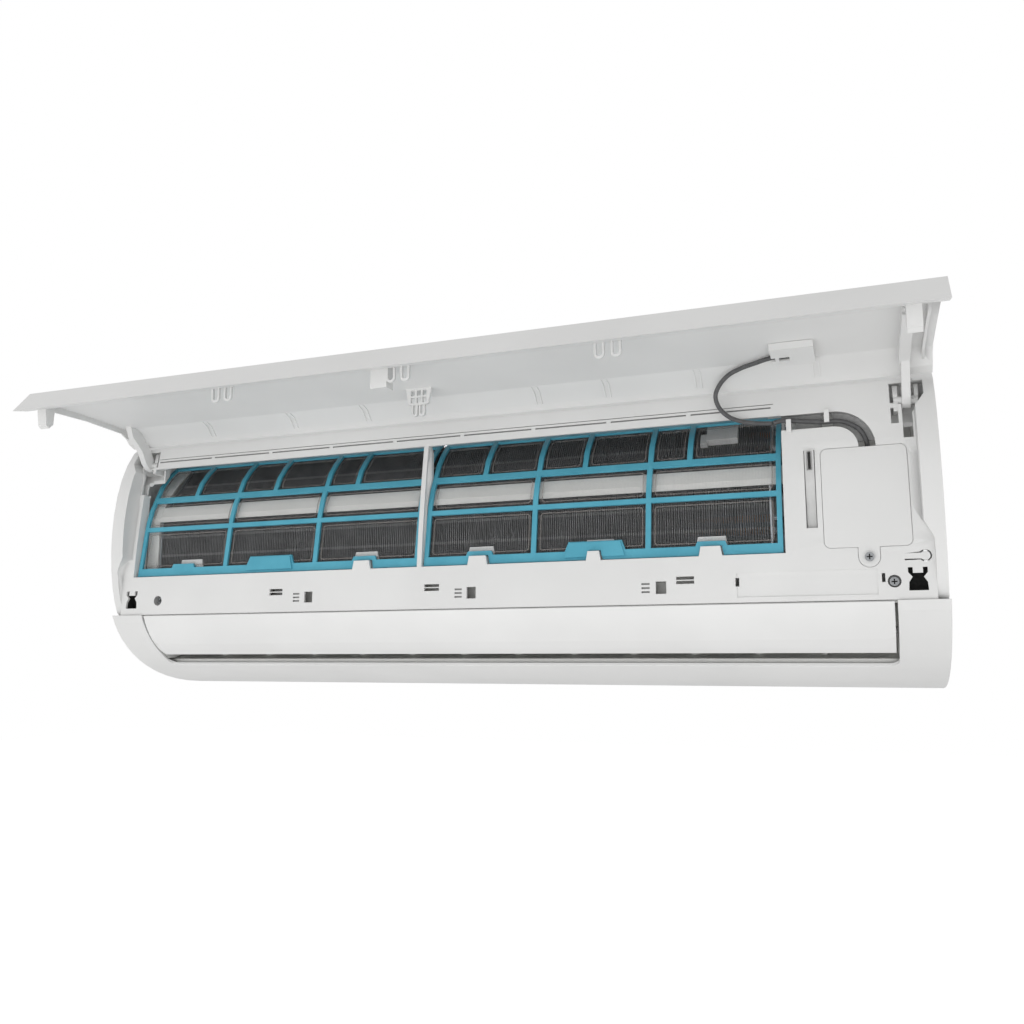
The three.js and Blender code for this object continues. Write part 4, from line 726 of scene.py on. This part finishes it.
# Nylon net, woven: a thin grey veil. The real threads are 0.1 mm thick and 0.8 mm apart.
# They are drawn 1.2 mm apart, and thin, so that the coil shows through as it does in life.
filter_weave, shader, place = new_material(
    "woven_nylon_net", {"Roughness": 0.5, "IOR": 1.53, "Base Color": linear("9A9A9B")}
)
thread_pitch = 0.0012
thread_share = 0.04
parts = add(filter_weave, "SeparateXYZ", {}, {0: place})


def threads(coordinate):
    """1 on a thread and 0 in the gap beside it."""
    scaled = add(
        filter_weave, "Math", {"operation": "DIVIDE"}, {0: coordinate, 1: thread_pitch}
    )
    part = add(filter_weave, "Math", {"operation": "FRACT"}, {0: scaled.outputs[0]})
    return add(
        filter_weave, "Math", {"operation": "LESS_THAN"}, {0: part.outputs[0], 1: thread_share}
    ).outputs[0]


weave = add(
    filter_weave,
    "Math",
    {"operation": "MAXIMUM"},
    {0: threads(parts.outputs[0]), 1: threads(parts.outputs[2])},
)
filter_weave.node_tree.links.new(weave.outputs[0], shader.inputs["Alpha"])

# The net's hem: a half-clear bead where it is welded to the lattice, grey-brown from dust.
welded_hem = clouded(
    "welded_nylon_hem",
    {"Roughness": 0.55, "IOR": 1.53, "Alpha": 0.28},
    grain=6.67,
    detail=3,
    colours=["8E8884", "A09A96"],
    relief=0.1,
)

# The filters' bend, and the cells of their lattice, in millimetres as above. The upper rows
# are split once more by short ribs.
filter_route = [
    (7.4, 40.3), (11, 66), (14.8, 93), (18.5, 109), (26.5, 126), (35, 143.5),
    (47, 157), (60, 168), (82, 180.5), (112, 190), (146, 194.5),
]
filter_line = spline([(0, y, z) for y, z in filter_route], 10)
filter_spans = {"left": (-376, -49.4), "right": (-43.6, 279)}
filter_rows = [(48.5, 88.5), (93, 121.5), (127, 163.5), (169, 180)]
filter_columns = [0, 0.333, 0.655, 1]
short_ribs = [0.5, 0.42, 0.31]
first_split_row = 2
side_rail = 4.2
half_rib = 2.3
hem_inset = 2.6
hem_width = 1.1
hem_front = 2.0
hem_back = 2.6
hem_corner = 4.0
corner_steps = 4
side_steps = 8


def on_filter(x, z, depth):
    """A point at a depth behind the filter's face, in metres."""
    i = next(i for i, p in enumerate(filter_line) if p.z >= z)
    low, high = filter_line[i - 1], filter_line[i]
    along = (high - low).normalized()
    spot = low.lerp(high, (z - low.z) / (high.z - low.z))
    return case_point(Vector((x, spot.y, z)) + Vector((0, along.z, -along.y)) * depth)


def cell_outline(x0, x1, z0, z1, inset):
    """Points round a cell, with round corners and with steps that follow the bend."""
    radius = hem_corner - inset / 2
    x0, x1, z0, z1 = x0 + inset, x1 - inset, z0 + inset, z1 - inset
    outline = []
    corners = [(x1, z1, 0), (x0, z1, 90), (x0, z0, 180), (x1, z0, 270)]
    for x, z, turn in corners:
        side_x = -1 if x == x1 else 1
        side_z = -1 if z == z1 else 1
        for k in range(corner_steps + 1):
            angle = math.radians(turn + 90 * k / corner_steps)
            outline.append(
                (
                    x + side_x * radius + radius * math.cos(angle),
                    z + side_z * radius + radius * math.sin(angle),
                )
            )
        if turn in (90, 270):
            for k in range(1, side_steps):
                climb = radius + (z1 - z0 - 2 * radius) * k / side_steps
                outline.append((x, z + side_z * climb))
    return outline


for side in ("left", "right"):
    body = "filter_" + side
    lattice = "filter_lattice_" + side
    softened("filter_frame_" + side, lattice, body, blue_polypropylene)
    dress("filter_net_" + side, filter_weave)
    left, right = filter_spans[side]
    ribs = [left + part * (right - left) for part in filter_columns]
    vertices = []
    faces = []
    for row, (z0, z1) in enumerate(filter_rows):
        spots = [ribs[0]]
        for share, near, far in zip(short_ribs, ribs, ribs[1:]):
            if row >= first_split_row:
                spots.append(near + share * (far - near))
            spots.append(far)
        for x0, x1 in zip(spots, spots[1:]):
            x0 += side_rail if x0 == left else half_rib
            x1 -= side_rail if x1 == right else half_rib
            rings = [
                [on_filter(x, z, depth) for x, z in cell_outline(x0, x1, z0, z1, inset)]
                for inset, depth in (
                    (hem_inset, hem_front),
                    (hem_inset + hem_width, hem_front),
                    (hem_inset + hem_width, hem_back),
                    (hem_inset, hem_back),
                )
            ]
            first = len(vertices)
            count = len(rings[0])
            vertices += [point for ring in rings for point in ring]
            for r in range(4):
                for k in range(count):
                    a = first + r * count + k
                    b = first + r * count + (k + 1) % count
                    c = first + ((r + 1) % 4) * count + (k + 1) % count
                    d = first + ((r + 1) % 4) * count + k
                    faces.append((a, d, c, b))
    new_piece(
        "filter_hem_" + side, vertices, faces, welded_hem, body, "filter_net", smooth=False
    )

# ---- Front panel -----------------------------------------------------------------------
# A wide, shallow moulding in white ABS. It turns on two arms at the top of the case and is
# caught at the bottom by hooks. The display housing is clipped inside it.

softened("front_panel", "panel_moulding", "panel", white_abs)
softened("display_holder", "display_housing", "panel", white_abs)

# ---- Floor, backdrop and lamps ---------------------------------------------------------
# A plain pale floor well under the unit, and soft studio light from all round, a little
# stronger from the front, above and below. The floor and the world are white to the camera.

floor_size = 12
floor_drop = 0.6
floor_lift = 0.40
bpy.ops.mesh.primitive_plane_add(size=floor_size, location=(0, 0, cad_box[0][2] - floor_drop))
floor = bpy.context.object
floor.name = "studio_floor"
floor_paint = bpy.data.materials.new("matt_white_paint")
floor_paint.use_nodes = True
floor_paint.node_tree.nodes.clear()
seen = add(floor_paint, "LightPath", {}, {}).outputs["Is Camera Ray"]
diffuse = add(floor_paint, "BsdfDiffuse", {}, {"Color": linear("F2F2F2")})
glow = add(floor_paint, "Emission", {}, {"Color": linear("FFFFFF")})
lift = add(floor_paint, "Math", {"operation": "MULTIPLY"}, {0: seen, 1: floor_lift})
floor_paint.node_tree.links.new(lift.outputs[0], glow.inputs["Strength"])
both = add(floor_paint, "AddShader", {}, {0: diffuse.outputs[0], 1: glow.outputs[0]})
add(floor_paint, "OutputMaterial", {}, {"Surface": both.outputs[0]})
floor.data.materials.append(floor_paint)

studio_level = 0.74
world = bpy.data.worlds.new("studio")
bpy.context.scene.world = world
world.use_nodes = True
world.node_tree.nodes.clear()
rays = add(world, "LightPath", {}, {})
seen = add(
    world,
    "Math",
    {"operation": "MAXIMUM"},
    {0: rays.outputs["Is Camera Ray"], 1: rays.outputs["Is Glossy Ray"]},
)
seen = add(
    world,
    "Math",
    {"operation": "MAXIMUM"},
    {0: seen.outputs[0], 1: rays.outputs["Is Transmission Ray"]},
)
level = add(
    world, "MapRange", {}, {"Value": seen.outputs[0], "To Min": studio_level, "To Max": 1.0}
)
sky = add(world, "Background", {}, {"Color": (1, 1, 1, 1), "Strength": level.outputs[0]})
add(world, "OutputWorld", {}, {"Surface": sky.outputs[0]})


def lamp(name, spot, target, size, power):
    """A soft square lamp that looks at a point."""
    light = bpy.data.lights.new(name, "AREA")
    light.size = size
    light.energy = power
    piece = bpy.data.objects.new(name, light)
    piece.location = spot
    piece.rotation_euler = (Vector(target) - Vector(spot)).to_track_quat("-Z", "Y").to_euler()
    bpy.context.collection.objects.link(piece)


lamp("key_lamp", (-0.6, -3.0, 0.9), (0, -0.1, 0), 1.6, 3)
lamp("low_lamp", (0, -0.8, -0.7), (0, -0.4, 0), 1.8, 12)
